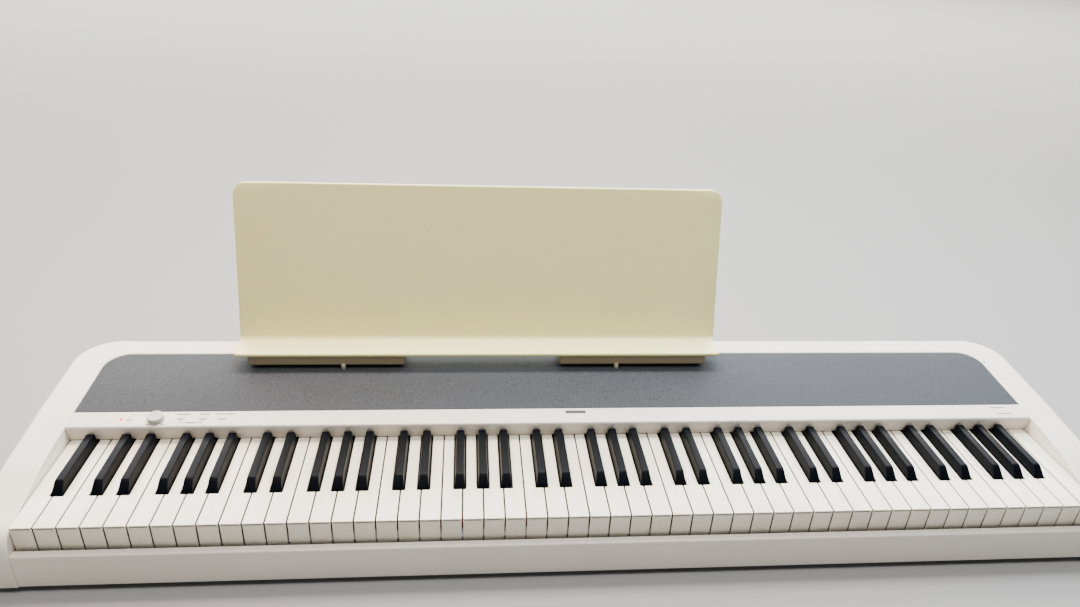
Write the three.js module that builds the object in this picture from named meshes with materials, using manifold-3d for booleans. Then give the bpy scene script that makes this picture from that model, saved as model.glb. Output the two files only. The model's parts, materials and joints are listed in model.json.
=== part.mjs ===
// An 88-note slab digital piano with its lift-off music rest, in millimetres.
//
// Everything is placed in the key frame: x = 0 at the left edge of the lowest natural key,
// y = 0 at the front of the naturals, z = 0 on their top face. The exported group shifts
// that frame so that the part's origin is at the bottom centre of its bounding box.
import * as THREE from "three";
import { ConvexGeometry } from "three/addons/geometries/ConvexGeometry.js";
import { mergeVertices } from "three/addons/utils/BufferGeometryUtils.js";
import Module from "manifold-3d";

const wasm = await Module();
wasm.setup();

// ---------------------------------------------------------------- driving dimensions
const GAP = 0.3; // between pieces that touch on the real object
const WALL = 2.5; // moulded case thickness

const PITCH = 23.5; // one natural key
const NATURALS = 52;
const KEYS_WIDTH = NATURALS * PITCH;
const KEY_GAP = 1; // between two naturals
const KEY_DEEP = 18; // height of a key's side walls
const SKIRT_BOTTOM = -33.5; // a natural's front face ends here
const HEAD = 49; // length of the wide part of a natural
const NATURAL_REAR = 228;
const SHARP_REAR = 225;
const SHARP_HALF = 6.3; // half width at the foot of a sharp
const SHARP_TOP_HALF = 4.7;
const SHARP_CAP = { front: 50.6, rear: 144, brow: 63, browZ: 11.5, top: 12 };
const SHARP_CLEAR = 1; // between a sharp and the naturals beside it
const FIRST_MIDDLE = 23; // index of C4 among the naturals
const LAST_MIDDLE = 29; // B4

const ARM = 45; // width of the end blocks
const CHEEK = 1; // gap from the last key to the end block
const BODY_FRONT = -13;
const BODY_REAR = 325;
const CASE_BOTTOM = -72;
const FOOT_HEIGHT = 8;
const REAR_CORNER = 50; // plan radius
const FRONT_CORNER = 9;
const PANEL_CORNER = 29;

const STRIP_FRONT = 145; // upper front edge of the control strip
const STRIP_EDGE_Z = 21;
const PANEL_FRONT = 171;
const PANEL_REAR = 289;
const PANEL_FRONT_Z = 24.5;
const PANEL_SUNK = 0.4; // the panel lies this far below the case around it
const RAIL_Z = 36; // top of the case 300 mm behind the key fronts
const RAIL_Y = 300;
const PANEL_SLOPE = (RAIL_Z - PANEL_FRONT_Z) / (RAIL_Y - PANEL_FRONT);
const STRIP_TILT = Math.atan((PANEL_FRONT_Z - STRIP_EDGE_Z) / (PANEL_FRONT - STRIP_FRONT));

const KEY_HINGE = { y: 222, z: -20.4, radius: 2 };
const HAMMER_PIVOT = { y: 122, z: -50, radius: 1.5 };
const KEY_FOOT = { y0: 89, y1: 91.5, bottom: -44.3, half: 2.5 };
const HAMMER_HALF = 3.5;

const REST_LEFT = 170.6;
const REST_RIGHT = 823.4;
const REST_FOLD = { y: 289.3, z: 57.7 }; // where the ledge meets the back
const REST_LEAN_DEG = 16;
const REST_LEAN = THREE.MathUtils.degToRad(REST_LEAN_DEG);
const REST_HEIGHT = 210.7; // along the leaning back
const REST_THICK = 4;
const LEDGE_FRONT = { y: 252.7, z: 56.1 };
const LEDGE_THICK = 5;
const REST_FEET = [
  { side: "left", x0: 186, x1: 392, pin: 310 },
  { side: "right", x0: 600, x1: 805, pin: 680 },
];
const REST_FOOT_FRONT = 255.2;
const REST_FOOT_REAR = 285;
const REST_FOOT_LOW = 37.5; // lower front edge, clear of the panel
const PIN = { y: 255.9, radius: 2.5, bottom: 24, top: 40 };

const REST_REAR = REST_FOLD.y + REST_HEIGHT * Math.sin(REST_LEAN)
  + REST_THICK * Math.cos(REST_LEAN);

// ---------------------------------------------------------------- shape helpers
function solid(geometry) {
  const bare = geometry.clone();
  bare.deleteAttribute("normal");
  bare.deleteAttribute("uv");
  const merged = mergeVertices(bare, 1e-4);
  return new wasm.Manifold(new wasm.Mesh({
    numProp: 3,
    vertProperties: new Float32Array(merged.attributes.position.array),
    triVerts: new Uint32Array(merged.index.array),
  }));
}

function geometryOf(made) {
  const mesh = made.getMesh();
  const geometry = new THREE.BufferGeometry();
  geometry.setAttribute("position", new THREE.BufferAttribute(mesh.vertProperties, 3));
  geometry.setIndex(new THREE.BufferAttribute(mesh.triVerts, 1));
  geometry.computeVertexNormals();
  return geometry;
}

const join = (pieces) => pieces.reduce((whole, piece) => whole.add(piece));

function box(x0, x1, y0, y1, z0, z1) {
  const geometry = new THREE.BoxGeometry(x1 - x0, y1 - y0, z1 - z0);
  return solid(geometry.translate((x0 + x1) / 2, (y0 + y1) / 2, (z0 + z1) / 2));
}

// A plan outline in (x, y), raised from z0 to z1.
function raised(shape, z0, z1, curveSegments = 4) {
  const options = { depth: z1 - z0, bevelEnabled: false, curveSegments };
  return solid(new THREE.ExtrudeGeometry(shape, options).translate(0, 0, z0));
}

// A side outline in (y, z), run along the keyboard from x0 to x1.
function alongX(shape, x0, x1, curveSegments = 6) {
  const options = { depth: x1 - x0, bevelEnabled: false, curveSegments };
  const turn = new THREE.Matrix4().makeBasis(
    new THREE.Vector3(0, 1, 0),
    new THREE.Vector3(0, 0, 1),
    new THREE.Vector3(1, 0, 0),
  );
  const geometry = new THREE.ExtrudeGeometry(shape, options).applyMatrix4(turn);
  return solid(geometry.translate(x0, 0, 0));
}

const outline = (points) => new THREE.Shape(points.map(([a, b]) => new THREE.Vector2(a, b)));

// A cylinder that stands along Z, or lies along X or Y.
function rod(axis, radius, length, x, y, z, sides = 20) {
  const geometry = new THREE.CylinderGeometry(radius, radius, length, sides);
  if (axis === "z") geometry.rotateX(Math.PI / 2);
  if (axis === "x") geometry.rotateZ(Math.PI / 2);
  return solid(geometry.translate(x, y, z));
}

// A profile of [radius, height] turned about Z.
function turned(profile, sides = 24) {
  const points = profile.map(([r, h]) => new THREE.Vector2(r, h));
  return solid(new THREE.LatheGeometry(points, sides).rotateX(Math.PI / 2));
}

function roundedRectangle(x0, x1, y0, y1, frontRadius, rearRadius) {
  const shape = new THREE.Shape();
  shape.moveTo(x0 + frontRadius, y0);
  shape.lineTo(x1 - frontRadius, y0);
  shape.absarc(x1 - frontRadius, y0 + frontRadius, frontRadius, -Math.PI / 2, 0, false);
  shape.lineTo(x1, y1 - rearRadius);
  shape.absarc(x1 - rearRadius, y1 - rearRadius, rearRadius, 0, Math.PI / 2, false);
  shape.lineTo(x0 + rearRadius, y1);
  shape.absarc(x0 + rearRadius, y1 - rearRadius, rearRadius, Math.PI / 2, Math.PI, false);
  shape.lineTo(x0, y0 + frontRadius);
  shape.absarc(x0 + frontRadius, y0 + frontRadius, frontRadius, Math.PI, 1.5 * Math.PI, false);
  return shape;
}

// ---------------------------------------------------------------- materials
const finish = (color, roughness, metalness = 0) => (
  new THREE.MeshStandardMaterial({ color, roughness, metalness })
);
const WHITE_CASE = finish("#dcd8d2", 0.42);
const CREAM = finish("#d8cfae", 0.35);
const GREY_PANEL = finish("#868a8e", 0.75);
const KEY_WHITE = finish("#ece9e3", 0.22);
const KEY_BLACK = finish("#151517", 0.38);
const RUBBER = finish("#2a2a2c", 0.9);
const STEEL = finish("#9ea2a6", 0.4, 0.9);
const FELT = finish("#8c2f2c", 0.95);
const BOARD = finish("#2c5b3a", 0.6);
const DARK_PLASTIC = finish("#303236", 0.6);
const CLEAR_RED = finish("#ff3a22", 0.15);
const KNOB_GREY = finish("#cfccc8", 0.35);

// ---------------------------------------------------------------- the note layout
const LETTERS = "ABCDEFG";
// Place in its group of naturals (C to E, or F to B), and where the sharp after it stands,
// counted in naturals from the group's start: the tails of a group are all as wide.
const GROUP_PLACE = { C: 0, D: 1, E: 2, F: 0, G: 1, A: 2, B: 3 };
const SHARP_PLACE = {
  C: (3 * 1.5) / 5,
  D: (3 * 3.5) / 5,
  F: (4 * 1.5) / 7,
  G: (4 * 3.5) / 7,
  A: (4 * 5.5) / 7,
};

function layOutNotes() {
  const naturals = [];
  const sharps = [];
  for (let index = 0; index < NATURALS; index += 1) {
    const letter = LETTERS[index % 7];
    const octave = Math.floor((index + 5) / 7);
    const left = index * PITCH;
    naturals.push({ index, name: `${letter}${octave}`, left, right: left + PITCH });
    if (letter in SHARP_PLACE && index < NATURALS - 1) {
      const centre = left + (SHARP_PLACE[letter] - GROUP_PLACE[letter]) * PITCH;
      sharps.push({ index, name: `${letter}sharp${octave}`, centre });
    }
  }
  for (const key of naturals) {
    const near = SHARP_HALF + SHARP_CLEAR;
    const before = sharps.find((sharp) => sharp.index === key.index - 1);
    const after = sharps.find((sharp) => sharp.index === key.index);
    key.left += KEY_GAP / 2;
    key.right -= KEY_GAP / 2;
    key.tailLeft = before ? before.centre + near : key.left;
    key.tailRight = after ? after.centre - near : key.right;
    key.centre = (key.tailLeft + key.tailRight) / 2;
  }
  return { naturals, sharps };
}

// ---------------------------------------------------------------- keys
function naturalOutline(key, inset) {
  const head = HEAD - inset;
  const rear = NATURAL_REAR - inset;
  const points = [[key.left + inset, inset], [key.right - inset, inset]];
  if (key.tailRight < key.right) {
    points.push([key.right - inset, head], [key.tailRight - inset, head]);
  }
  points.push([key.tailRight - inset, rear], [key.tailLeft + inset, rear]);
  if (key.tailLeft > key.left) {
    points.push([key.tailLeft + inset, head], [key.left + inset, head]);
  }
  return outline(points);
}

// Side outline of a key from its front to its rear end, with the foot that pushes the
// hammer; front is the outline of its playing end, from the underside to the top.
function keySide(front, rear, top) {
  const { y0, y1, bottom } = KEY_FOOT;
  return outline([
    ...front, [y0, -KEY_DEEP], [y0, bottom], [y1, bottom], [y1, -KEY_DEEP],
    [rear, -KEY_DEEP], [rear, top],
  ]);
}

const KEY_WALL = 2;

function plainNatural(key) {
  const face = [[0, 0], [0, SKIRT_BOTTOM], [KEY_WALL, SKIRT_BOTTOM], [KEY_WALL, -KEY_DEEP]];
  return alongX(keySide(face, NATURAL_REAR, 0), key.left, key.right)
    .intersect(raised(naturalOutline(key, 0), KEY_FOOT.bottom - 1, 1));
}

// A single natural is a hollow moulding, open below, that sits over its guide tongue.
function hollowNatural(key) {
  const room = raised(naturalOutline(key, KEY_WALL), SKIRT_BOTTOM - 1, -KEY_WALL);
  const { y0, y1, bottom, half } = KEY_FOOT;
  const foot = box(key.centre - half, key.centre + half, y0, y1, bottom, -KEY_WALL + 1);
  const hollow = room.add(box(key.left, key.right, y0 - 1, y1 + 1, bottom - 1, -KEY_DEEP));
  return plainNatural(key).subtract(hollow).add(foot);
}

function sharpKey(key) {
  const { front, rear, brow, browZ, top } = SHARP_CAP;
  const left = key.centre - SHARP_HALF;
  const right = key.centre + SHARP_HALF;
  const corners = [];
  for (const y of [front, rear]) {
    for (const x of [left, right]) {
      corners.push(new THREE.Vector3(x, y, -1), new THREE.Vector3(x, y, 0));
    }
  }
  for (const side of [-1, 1]) {
    const x = key.centre + side * SHARP_TOP_HALF;
    corners.push(new THREE.Vector3(x, brow, browZ), new THREE.Vector3(x, rear - 0.4, top));
  }
  const cap = solid(new ConvexGeometry(corners));
  const face = [[front + 4, -0.5], [front + 4, -KEY_DEEP]];
  return cap.add(alongX(keySide(face, SHARP_REAR, -0.5), left, right));
}

// Keys of one register are moulded as a comb: the naturals on a bar behind the hinge,
// the sharps on a bar that passes over the naturals' tails.
const NATURAL_BAR = { y0: NATURAL_REAR - 1, y1: NATURAL_REAR + 6, z0: -16, z1: -8 };
const SHARP_BAR = { y0: 214, y1: 222, z0: 1.5, z1: 5 };

function naturalComb(keys) {
  const last = keys[keys.length - 1];
  const { y0, y1, z0, z1 } = NATURAL_BAR;
  const bar = box(keys[0].tailLeft, last.tailRight, y0, y1, z0, z1);
  return join([...keys.map(plainNatural), bar]);
}

function sharpComb(keys) {
  const { y0, y1, z0, z1 } = SHARP_BAR;
  const last = keys[keys.length - 1];
  const half = SHARP_HALF;
  const bar = box(keys[0].centre - half, last.centre + half, y0, y1, z0, z1);
  const risers = keys.map((key) => (
    box(key.centre - half, key.centre + half, y0, y1, -2, z0 + 0.5)
  ));
  return join([...keys.map(sharpKey), ...risers, bar]);
}

// ---------------------------------------------------------------- hammers
// The lever lies on the pivot rod: the key's foot pushes its front end down and the
// weighted rear end swings up.
function hammer(centre) {
  const profile = outline([
    [84, -48.1], [145, -48.1], [152, -57], [212, -57], [212, -48], [84, -45],
  ]);
  return alongX(profile, centre - HAMMER_HALF, centre + HAMMER_HALF);
}

// The hammers of one register hang on a bar, each by its own link.
const NATURAL_HAMMER_BAR = { y0: 214, y1: 218, z0: -56, z1: -50, linkY0: 211, linkZ1: -50.5 };
const SHARP_HAMMER_BAR = { y0: 128, y1: 134, z0: -55, z1: -52.5, linkY0: 128.5, linkZ1: -47 };

function hammerComb(keys, { y0, y1, z0, z1, linkY0, linkZ1 }) {
  const last = keys[keys.length - 1];
  const x0 = keys[0].centre - HAMMER_HALF;
  const x1 = last.centre + HAMMER_HALF;
  const links = keys.map((key) => box(
    key.centre - HAMMER_HALF, key.centre + HAMMER_HALF, linkY0, y1 - 0.5, z0 + 0.5, linkZ1,
  ));
  const bar = box(x0, x1, y0, y1, z0, z1);
  return join([...keys.map((key) => hammer(key.centre)), ...links, bar]);
}

const naturalHammerComb = (keys) => hammerComb(keys, NATURAL_HAMMER_BAR);
const sharpHammerComb = (keys) => hammerComb(keys, SHARP_HAMMER_BAR);

// ---------------------------------------------------------------- case
const caseTop = (y) => PANEL_FRONT_Z + (y - PANEL_FRONT) * PANEL_SLOPE;

// Side outline of the end blocks: a big rounded nose, a gentle rise past the keys,
// a straight run beside the panel and a rounded rear edge.
function sideOutline(inset) {
  const front = BODY_FRONT + inset;
  const rear = BODY_REAR - inset;
  const shape = new THREE.Shape();
  shape.moveTo(front + 1, CASE_BOTTOM - inset);
  shape.lineTo(front, -38);
  shape.bezierCurveTo(front, -17, -4, -5.5 - inset, 14, -3 - inset);
  shape.bezierCurveTo(38, 0.5 - inset, 60, 8 - inset, 81, 12.6 - inset);
  shape.bezierCurveTo(100, 16.2 - inset, 122, 18.4 - inset, STRIP_FRONT, STRIP_EDGE_Z - inset);
  shape.lineTo(PANEL_FRONT, PANEL_FRONT_Z - inset);
  shape.lineTo(RAIL_Y, RAIL_Z - inset);
  shape.lineTo(rear - 11, 37 - inset);
  shape.bezierCurveTo(rear - 4, 37 - inset, rear, 34 - inset, rear, 27 - inset);
  shape.lineTo(rear, CASE_BOTTOM - inset);
  return shape;
}

const plan = (inset, front) => roundedRectangle(
  -ARM + inset, KEYS_WIDTH + ARM - inset, front, BODY_REAR - inset,
  FRONT_CORNER - inset, REAR_CORNER - inset,
);

const SOCKET_Z = -50;
const SOCKETS = [
  { x: 415, half: 5, bore: 3.2, depth: 10, port: 5.5 }, // low-voltage supply
  { x: 505, half: 8, bore: 3.2, depth: 16, port: 6.5 }, // pedal
  { x: 535, half: 8, bore: 3.2, depth: 16, port: 6.5 }, // headphones
  { x: 475, half: 6, bore: 1.9, depth: 14, port: 4.5 }, // audio in
];
const USB = { x: 445, half: 6.3, openHalf: 4.3, openTop: 3.9, depth: 12, portHalf: 6.5, portTop: 6 };

function topCase() {
  const x0 = -ARM;
  const x1 = KEYS_WIDTH + ARM;
  const outer = alongX(sideOutline(0), x0, x1, 5)
    .intersect(raised(plan(0, BODY_FRONT), CASE_BOTTOM, 60, 6));
  const inner = alongX(sideOutline(WALL), x0, x1, 2)
    .intersect(raised(plan(WALL, BODY_FRONT + WALL), CASE_BOTTOM - 1, 60, 3));
  const leftRoom = inner.intersect(box(x0, -CHEEK - WALL, -50, 400, -100, 100));
  const rightRoom = inner.intersect(box(KEYS_WIDTH + CHEEK + WALL, x1, -50, 400, -100, 100));
  const rearRoom = inner.intersect(box(x0, x1, PANEL_REAR + WALL, 400, -100, 100));
  const keyWell = box(-CHEEK, KEYS_WIDTH + CHEEK, -50, PANEL_FRONT + 1, -100, 100);
  const panelWell = raised(roundedRectangle(
    -CHEEK, KEYS_WIDTH + CHEEK, PANEL_FRONT - 1, PANEL_REAR, 0.5, PANEL_CORNER,
  ), -100, 100, 6);
  const underPanel = box(-CHEEK, KEYS_WIDTH + CHEEK, PANEL_FRONT, PANEL_REAR + 10, -100, 18);
  const plateRoom = raised(plan(WALL, BODY_FRONT + 5), CASE_BOTTOM - 1, CASE_BOTTOM + 3.1);
  let made = [leftRoom, rightRoom, rearRoom, keyWell, panelWell, underPanel, plateRoom]
    .reduce((whole, room) => whole.subtract(room), outer);
  for (const socket of SOCKETS) {
    made = made.subtract(rod("y", socket.port, 20, socket.x, BODY_REAR, SOCKET_Z));
  }
  const { x, portHalf, portTop } = USB;
  const usbHole = box(
    x - portHalf, x + portHalf, BODY_REAR - 9, BODY_REAR + 9, SOCKET_Z - portTop, SOCKET_Z + portTop,
  );
  return made.subtract(usbHole);
}

function bottomCase() {
  const inset = WALL + GAP + 0.1;
  const floor = raised(plan(inset, BODY_FRONT + 5.3), CASE_BOTTOM, CASE_BOTTOM + 2.6);
  const rim = raised(plan(inset + 1, BODY_FRONT + 7), CASE_BOTTOM + 2, CASE_BOTTOM + 6)
    .subtract(raised(plan(inset + 3, BODY_FRONT + 9), CASE_BOTTOM, CASE_BOTTOM + 8));
  const cheekGaps = [-CHEEK - WALL / 2, KEYS_WIDTH + CHEEK + WALL / 2].map((x) => (
    box(x - 3, x + 3, -50, 400, CASE_BOTTOM + 2.6, CASE_BOTTOM + 10)
  ));
  return cheekGaps.reduce((whole, room) => whole.subtract(room), floor.add(rim));
}

// The rail in front of the keys: a rounded lip at the top and a thin front wall.
function keySlip() {
  const shape = new THREE.Shape();
  shape.moveTo(-3.5, -29);
  shape.lineTo(-9, -29);
  shape.quadraticCurveTo(-10.9, -29, -11, -31.2);
  shape.lineTo(-11, CASE_BOTTOM);
  shape.lineTo(-8.5, CASE_BOTTOM);
  shape.lineTo(-8.5, -31.5);
  shape.lineTo(-3.5, -31.5);
  return alongX(shape, -CHEEK + GAP, KEYS_WIDTH + CHEEK - GAP, 4);
}

// ---------------------------------------------------------------- control strip
const CONTROLS = {
  led: { x: 59.3, y: 13.3 },
  power: { x: 68.2, y: 13.3 },
  knob: { x: 100, y: 12.1 },
  sound: { x: 128.8, y: 14 },
  effect: { x: 154.3, y: 14 },
  metronome: { x: 177, y: 13.6 },
};
const BUTTON = { long: 8.4, deep: 4.6, radius: 1.6, clear: 0.3 };
const POWER_RADIUS = 2.7;
const LED_RADIUS = 1.7;
const KNOB_RADIUS = 9.5;
const KNOB_HEIGHT = 7;
const SHAFT_RADIUS = 3;
const BOARD_TOP = -12; // below the strip's surface

// Points of the control strip's own plane, as the tilted group below places them.
function onStrip(piece) {
  return piece.rotate([THREE.MathUtils.radToDeg(STRIP_TILT), 0, 0])
    .translate([0, STRIP_FRONT, STRIP_EDGE_Z]);
}

function buttonOutline(at, grow) {
  const halfX = BUTTON.long / 2 + grow;
  const halfY = BUTTON.deep / 2 + grow;
  const r = BUTTON.radius;
  return roundedRectangle(at.x - halfX, at.x + halfX, at.y - halfY, at.y + halfY, r, r);
}

function controlStrip() {
  const shape = new THREE.Shape();
  const top = PANEL_FRONT - GAP;
  const topZ = PANEL_FRONT_Z - GAP * Math.tan(STRIP_TILT);
  shape.moveTo(147.5, 1.2);
  shape.lineTo(150, 1.2);
  shape.lineTo(149, 19);
  shape.lineTo(top, topZ - WALL);
  shape.lineTo(top, topZ);
  shape.lineTo(147.6, STRIP_EDGE_Z + 0.35);
  shape.quadraticCurveTo(144.9, 20.9, 144.8, 18.4);
  const bar = alongX(shape, -CHEEK + GAP, KEYS_WIDTH + CHEEK - GAP, 4);
  const { led, power, knob, sound, effect, metronome } = CONTROLS;
  const holes = [
    rod("z", LED_RADIUS + 0.3, 20, led.x, led.y, 0, 12),
    rod("z", POWER_RADIUS + 0.4, 20, power.x, power.y, 0, 12),
    rod("z", SHAFT_RADIUS + 0.5, 20, knob.x, knob.y, 0, 12),
    ...[sound, effect, metronome].map((at) => (
      raised(buttonOutline(at, BUTTON.clear), -10, 10, 3)
    )),
  ];
  return holes.reduce((whole, hole) => whole.subtract(onStrip(hole)), bar);
}

// A cap with a retaining flange under the strip and a stem towards the switch.
function button(at) {
  const stemEnd = BOARD_TOP + 1.2;
  const cap = raised(buttonOutline(at, 0), -5.5, 1, 3);
  const flange = raised(buttonOutline(at, 1.2), -6, -4, 2);
  return join([cap, flange, rod("z", 1.2, 6, at.x, at.y, stemEnd + 3, 8)]);
}

function powerButton({ x, y }) {
  const stemEnd = BOARD_TOP + 1.2;
  const profile = [
    [0, stemEnd], [1.2, stemEnd], [1.2, -6], [POWER_RADIUS + 1.2, -6],
    [POWER_RADIUS + 1.2, -4], [POWER_RADIUS, -4], [POWER_RADIUS, 0.6],
    [POWER_RADIUS - 0.5, 1], [0, 1],
  ];
  return turned(profile, 12).translate([x, y, 0]);
}

function knob({ x, y }) {
  const low = 0.6; // the skirt stands clear of the strip
  const profile = [
    [0, BOARD_TOP + 0.5], [SHAFT_RADIUS, BOARD_TOP + 0.5], [SHAFT_RADIUS, low],
    [KNOB_RADIUS - 0.4, low], [KNOB_RADIUS, low + 0.6], [KNOB_RADIUS - 0.5, KNOB_HEIGHT - 1],
    [KNOB_RADIUS - 1.6, KNOB_HEIGHT], [0, KNOB_HEIGHT],
  ];
  const pointer = box(-0.5, 0.5, KNOB_RADIUS - 4.5, KNOB_RADIUS - 1.8, KNOB_HEIGHT - 0.6, 20);
  return turned(profile, 24).subtract(pointer).translate([x, y, 0]);
}

function ledLens({ x, y }) {
  const profile = [[0, -7], [LED_RADIUS, -7], [LED_RADIUS, 0], [LED_RADIUS - 0.7, 0.7], [0, 0.8]];
  return turned(profile, 14).translate([x, y, 0]);
}

function panelBoard() {
  const plate = box(50, 192, 5, 24, BOARD_TOP - 1.6, BOARD_TOP);
  const chip = box(82, 90, 9, 15, BOARD_TOP - 3.4, BOARD_TOP - 1);
  return plate.add(chip);
}

// ---------------------------------------------------------------- grey panel and speakers
function speakerPanel() {
  const y0 = PANEL_FRONT + GAP;
  const y1 = PANEL_REAR - GAP;
  const side = -CHEEK + GAP;
  const slab = alongX(outline([
    [y0, caseTop(y0) - PANEL_SUNK - WALL], [y1, caseTop(y1) - PANEL_SUNK - WALL],
    [y1, caseTop(y1) - PANEL_SUNK], [y0, caseTop(y0) - PANEL_SUNK],
  ]), side, KEYS_WIDTH - side);
  const edge = raised(roundedRectangle(
    side, KEYS_WIDTH - side, y0, y1, 0.5, PANEL_CORNER - GAP,
  ), 0, 60, 6);
  return REST_FEET.reduce(
    (whole, foot) => whole.subtract(rod("z", PIN.radius + 0.7, 40, foot.pin, PIN.y, 30)),
    slab.intersect(edge),
  );
}

const SPEAKER_Y = 256;

// An oval driver: frame, cone basket and magnet, with a hollow cone.
function speaker(x) {
  const profile = [
    [0, -40], [14, -40], [14, -24], [25, -6], [29, -2.6], [29, 0], [26, 0],
    [24, -3], [6, -14], [0, -12],
  ];
  const oval = turned(profile, 20).scale([1.75, 1, 1]);
  return oval.translate([x, SPEAKER_Y, caseTop(SPEAKER_Y) - WALL - 4.2]);
}

// ---------------------------------------------------------------- chassis and felts
const FLOOR_Z = -62.3;
const SHEET = 2;

function keyChassis(middleNaturals) {
  const x0 = 2;
  const x1 = KEYS_WIDTH - 2;
  const run = (y0, y1, z0, z1) => box(x0, x1, y0, y1, z0, z1);
  const floorTop = FLOOR_Z + SHEET;
  const pieces = [
    run(8, 223, FLOOR_Z, floorTop),
    run(8, 10, floorTop - 1, -33),
    run(8, 46, -35, -33),
    run(44, 46, -42, -34),
    run(44, 82, -42, -40.3),
    run(80, 82, floorTop - 1, -41),
    run(121, 123, floorTop - 1, -52),
    run(221, 223, floorTop - 1, -22.9),
    run(196, 222, -24.9, -22.9),
  ];
  const tongues = middleNaturals.map((key) => {
    const middle = (key.left + key.right) / 2;
    return box(middle - 2, middle + 2, 12, 18, -34, -14);
  });
  return join([...pieces, ...tongues]);
}

const keyStopFelt = () => box(3, KEYS_WIDTH - 3, 22, 40, -32.7, -28);
const sensorBoard = () => box(6, KEYS_WIDTH - 6, 50, 78, -40, -38.4);

// ---------------------------------------------------------------- electronics
function mainBoard() {
  const plate = box(430, 640, 236, 292, -58, -56.4);
  const parts = [
    box(460, 484, 250, 274, -57, -54), // processor
    box(500, 512, 250, 268, -57, -54.5), // memory
    box(590, 622, 244, 284, -57, -42), // amplifier's heat sink
    box(535, 550, 260, 275, -57, -46), // capacitor block
  ];
  return join([plate, ...parts]);
}

function rearSockets() {
  const back = BODY_REAR - WALL - GAP;
  const front = back - 20;
  const boardTop = SOCKET_Z - 7.4;
  const plate = box(402, 552, 294, back - 1, boardTop - 1.6, boardTop);
  let made = plate;
  for (const socket of SOCKETS) {
    const { x, half } = socket;
    made = made.add(box(x - half, x + half, front, back, boardTop - 1, SOCKET_Z + 6));
    made = made.subtract(rod("y", socket.bore, 2 * socket.depth, x, back, SOCKET_Z, 16));
  }
  const { x, half, openHalf, openTop, depth } = USB;
  made = made.add(box(x - half, x + half, front, back, boardTop - 1, SOCKET_Z + 5.5));
  return made.subtract(box(
    x - openHalf, x + openHalf, back - depth, back + 5, SOCKET_Z - openTop, SOCKET_Z + openTop,
  ));
}

// ---------------------------------------------------------------- rest and feet
const LEDGE_SLOPE = (REST_FOLD.z - LEDGE_FRONT.z) / (REST_FOLD.y - LEDGE_FRONT.y);
const ledgeTop = (y) => LEDGE_FRONT.z + (y - LEDGE_FRONT.y) * LEDGE_SLOPE;

// One moulding: a nearly level ledge with a rounded front edge, and a leaning back.
function musicRest() {
  const corner = 18;
  const sheet = roundedRectangle(REST_LEFT, REST_RIGHT, -3, REST_HEIGHT, 0.5, corner);
  const options = { depth: REST_THICK, bevelEnabled: false, curveSegments: 8 };
  const upright = new THREE.ExtrudeGeometry(sheet, options)
    .rotateX(Math.PI / 2)
    .translate(0, REST_THICK, 0);
  const back = solid(upright)
    .rotate([-REST_LEAN_DEG, 0, 0])
    .translate([0, REST_FOLD.y, REST_FOLD.z]);
  const { y, z } = LEDGE_FRONT;
  const rear = REST_FOLD.y + 3.4;
  const middle = z - LEDGE_THICK / 2;
  const nose = new THREE.Shape();
  nose.moveTo(rear, ledgeTop(rear));
  nose.lineTo(y + 2.5, ledgeTop(y + 2.5));
  nose.quadraticCurveTo(y, z, y, middle);
  nose.quadraticCurveTo(y, z - LEDGE_THICK, y + 2.5, ledgeTop(y + 2.5) - LEDGE_THICK);
  nose.lineTo(rear, ledgeTop(rear) - LEDGE_THICK);
  const ends = raised(roundedRectangle(REST_LEFT, REST_RIGHT, y, rear, 3, 0.5), 0, 100, 4);
  return alongX(nose, REST_LEFT, REST_RIGHT, 4).intersect(ends).add(back);
}

// The bracket under the ledge: its heel stands on the panel, its pin drops through it.
function restFoot({ x0, x1, pin }) {
  const under = (y) => ledgeTop(y) - LEDGE_THICK - GAP;
  const heel = caseTop(REST_FOOT_REAR) - PANEL_SUNK + GAP;
  const block = alongX(outline([
    [REST_FOOT_FRONT, REST_FOOT_LOW], [REST_FOOT_REAR, heel],
    [REST_FOOT_REAR, under(REST_FOOT_REAR)], [REST_FOOT_FRONT, under(REST_FOOT_FRONT)],
  ]), x0, x1);
  const length = PIN.top - PIN.bottom;
  return block.add(rod("z", PIN.radius, length, pin, PIN.y, PIN.bottom + length / 2, 16));
}

const FEET = [
  { name: "foot_front_left", x: 40, y: 32 },
  { name: "foot_front_right", x: KEYS_WIDTH - 40, y: 32 },
  { name: "foot_rear_left", x: 40, y: 286 },
  { name: "foot_rear_right", x: KEYS_WIDTH - 40, y: 286 },
];

function rubberFoot() {
  const low = CASE_BOTTOM - FOOT_HEIGHT;
  const high = CASE_BOTTOM - GAP;
  return turned([[0, low], [11, low], [12, low + 1], [13, high], [0, high]], 16);
}

// ---------------------------------------------------------------- assembly
const piano = new THREE.Group();
piano.name = "digital_piano";
const keyFrame = new THREE.Group();
keyFrame.position.set(
  -KEYS_WIDTH / 2,
  -(BODY_FRONT + REST_REAR) / 2,
  FOOT_HEIGHT - CASE_BOTTOM,
);
piano.add(keyFrame);

const strip = new THREE.Group();
strip.position.set(0, STRIP_FRONT, STRIP_EDGE_Z);
strip.rotation.x = STRIP_TILT;
keyFrame.add(strip);

function put(parent, name, made, material) {
  const mesh = new THREE.Mesh(geometryOf(made), material);
  mesh.name = name;
  parent.add(mesh);
  return mesh;
}

const { naturals, sharps } = layOutNotes();
const middle = (key) => key.index >= FIRST_MIDDLE && key.index <= LAST_MIDDLE;

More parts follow.
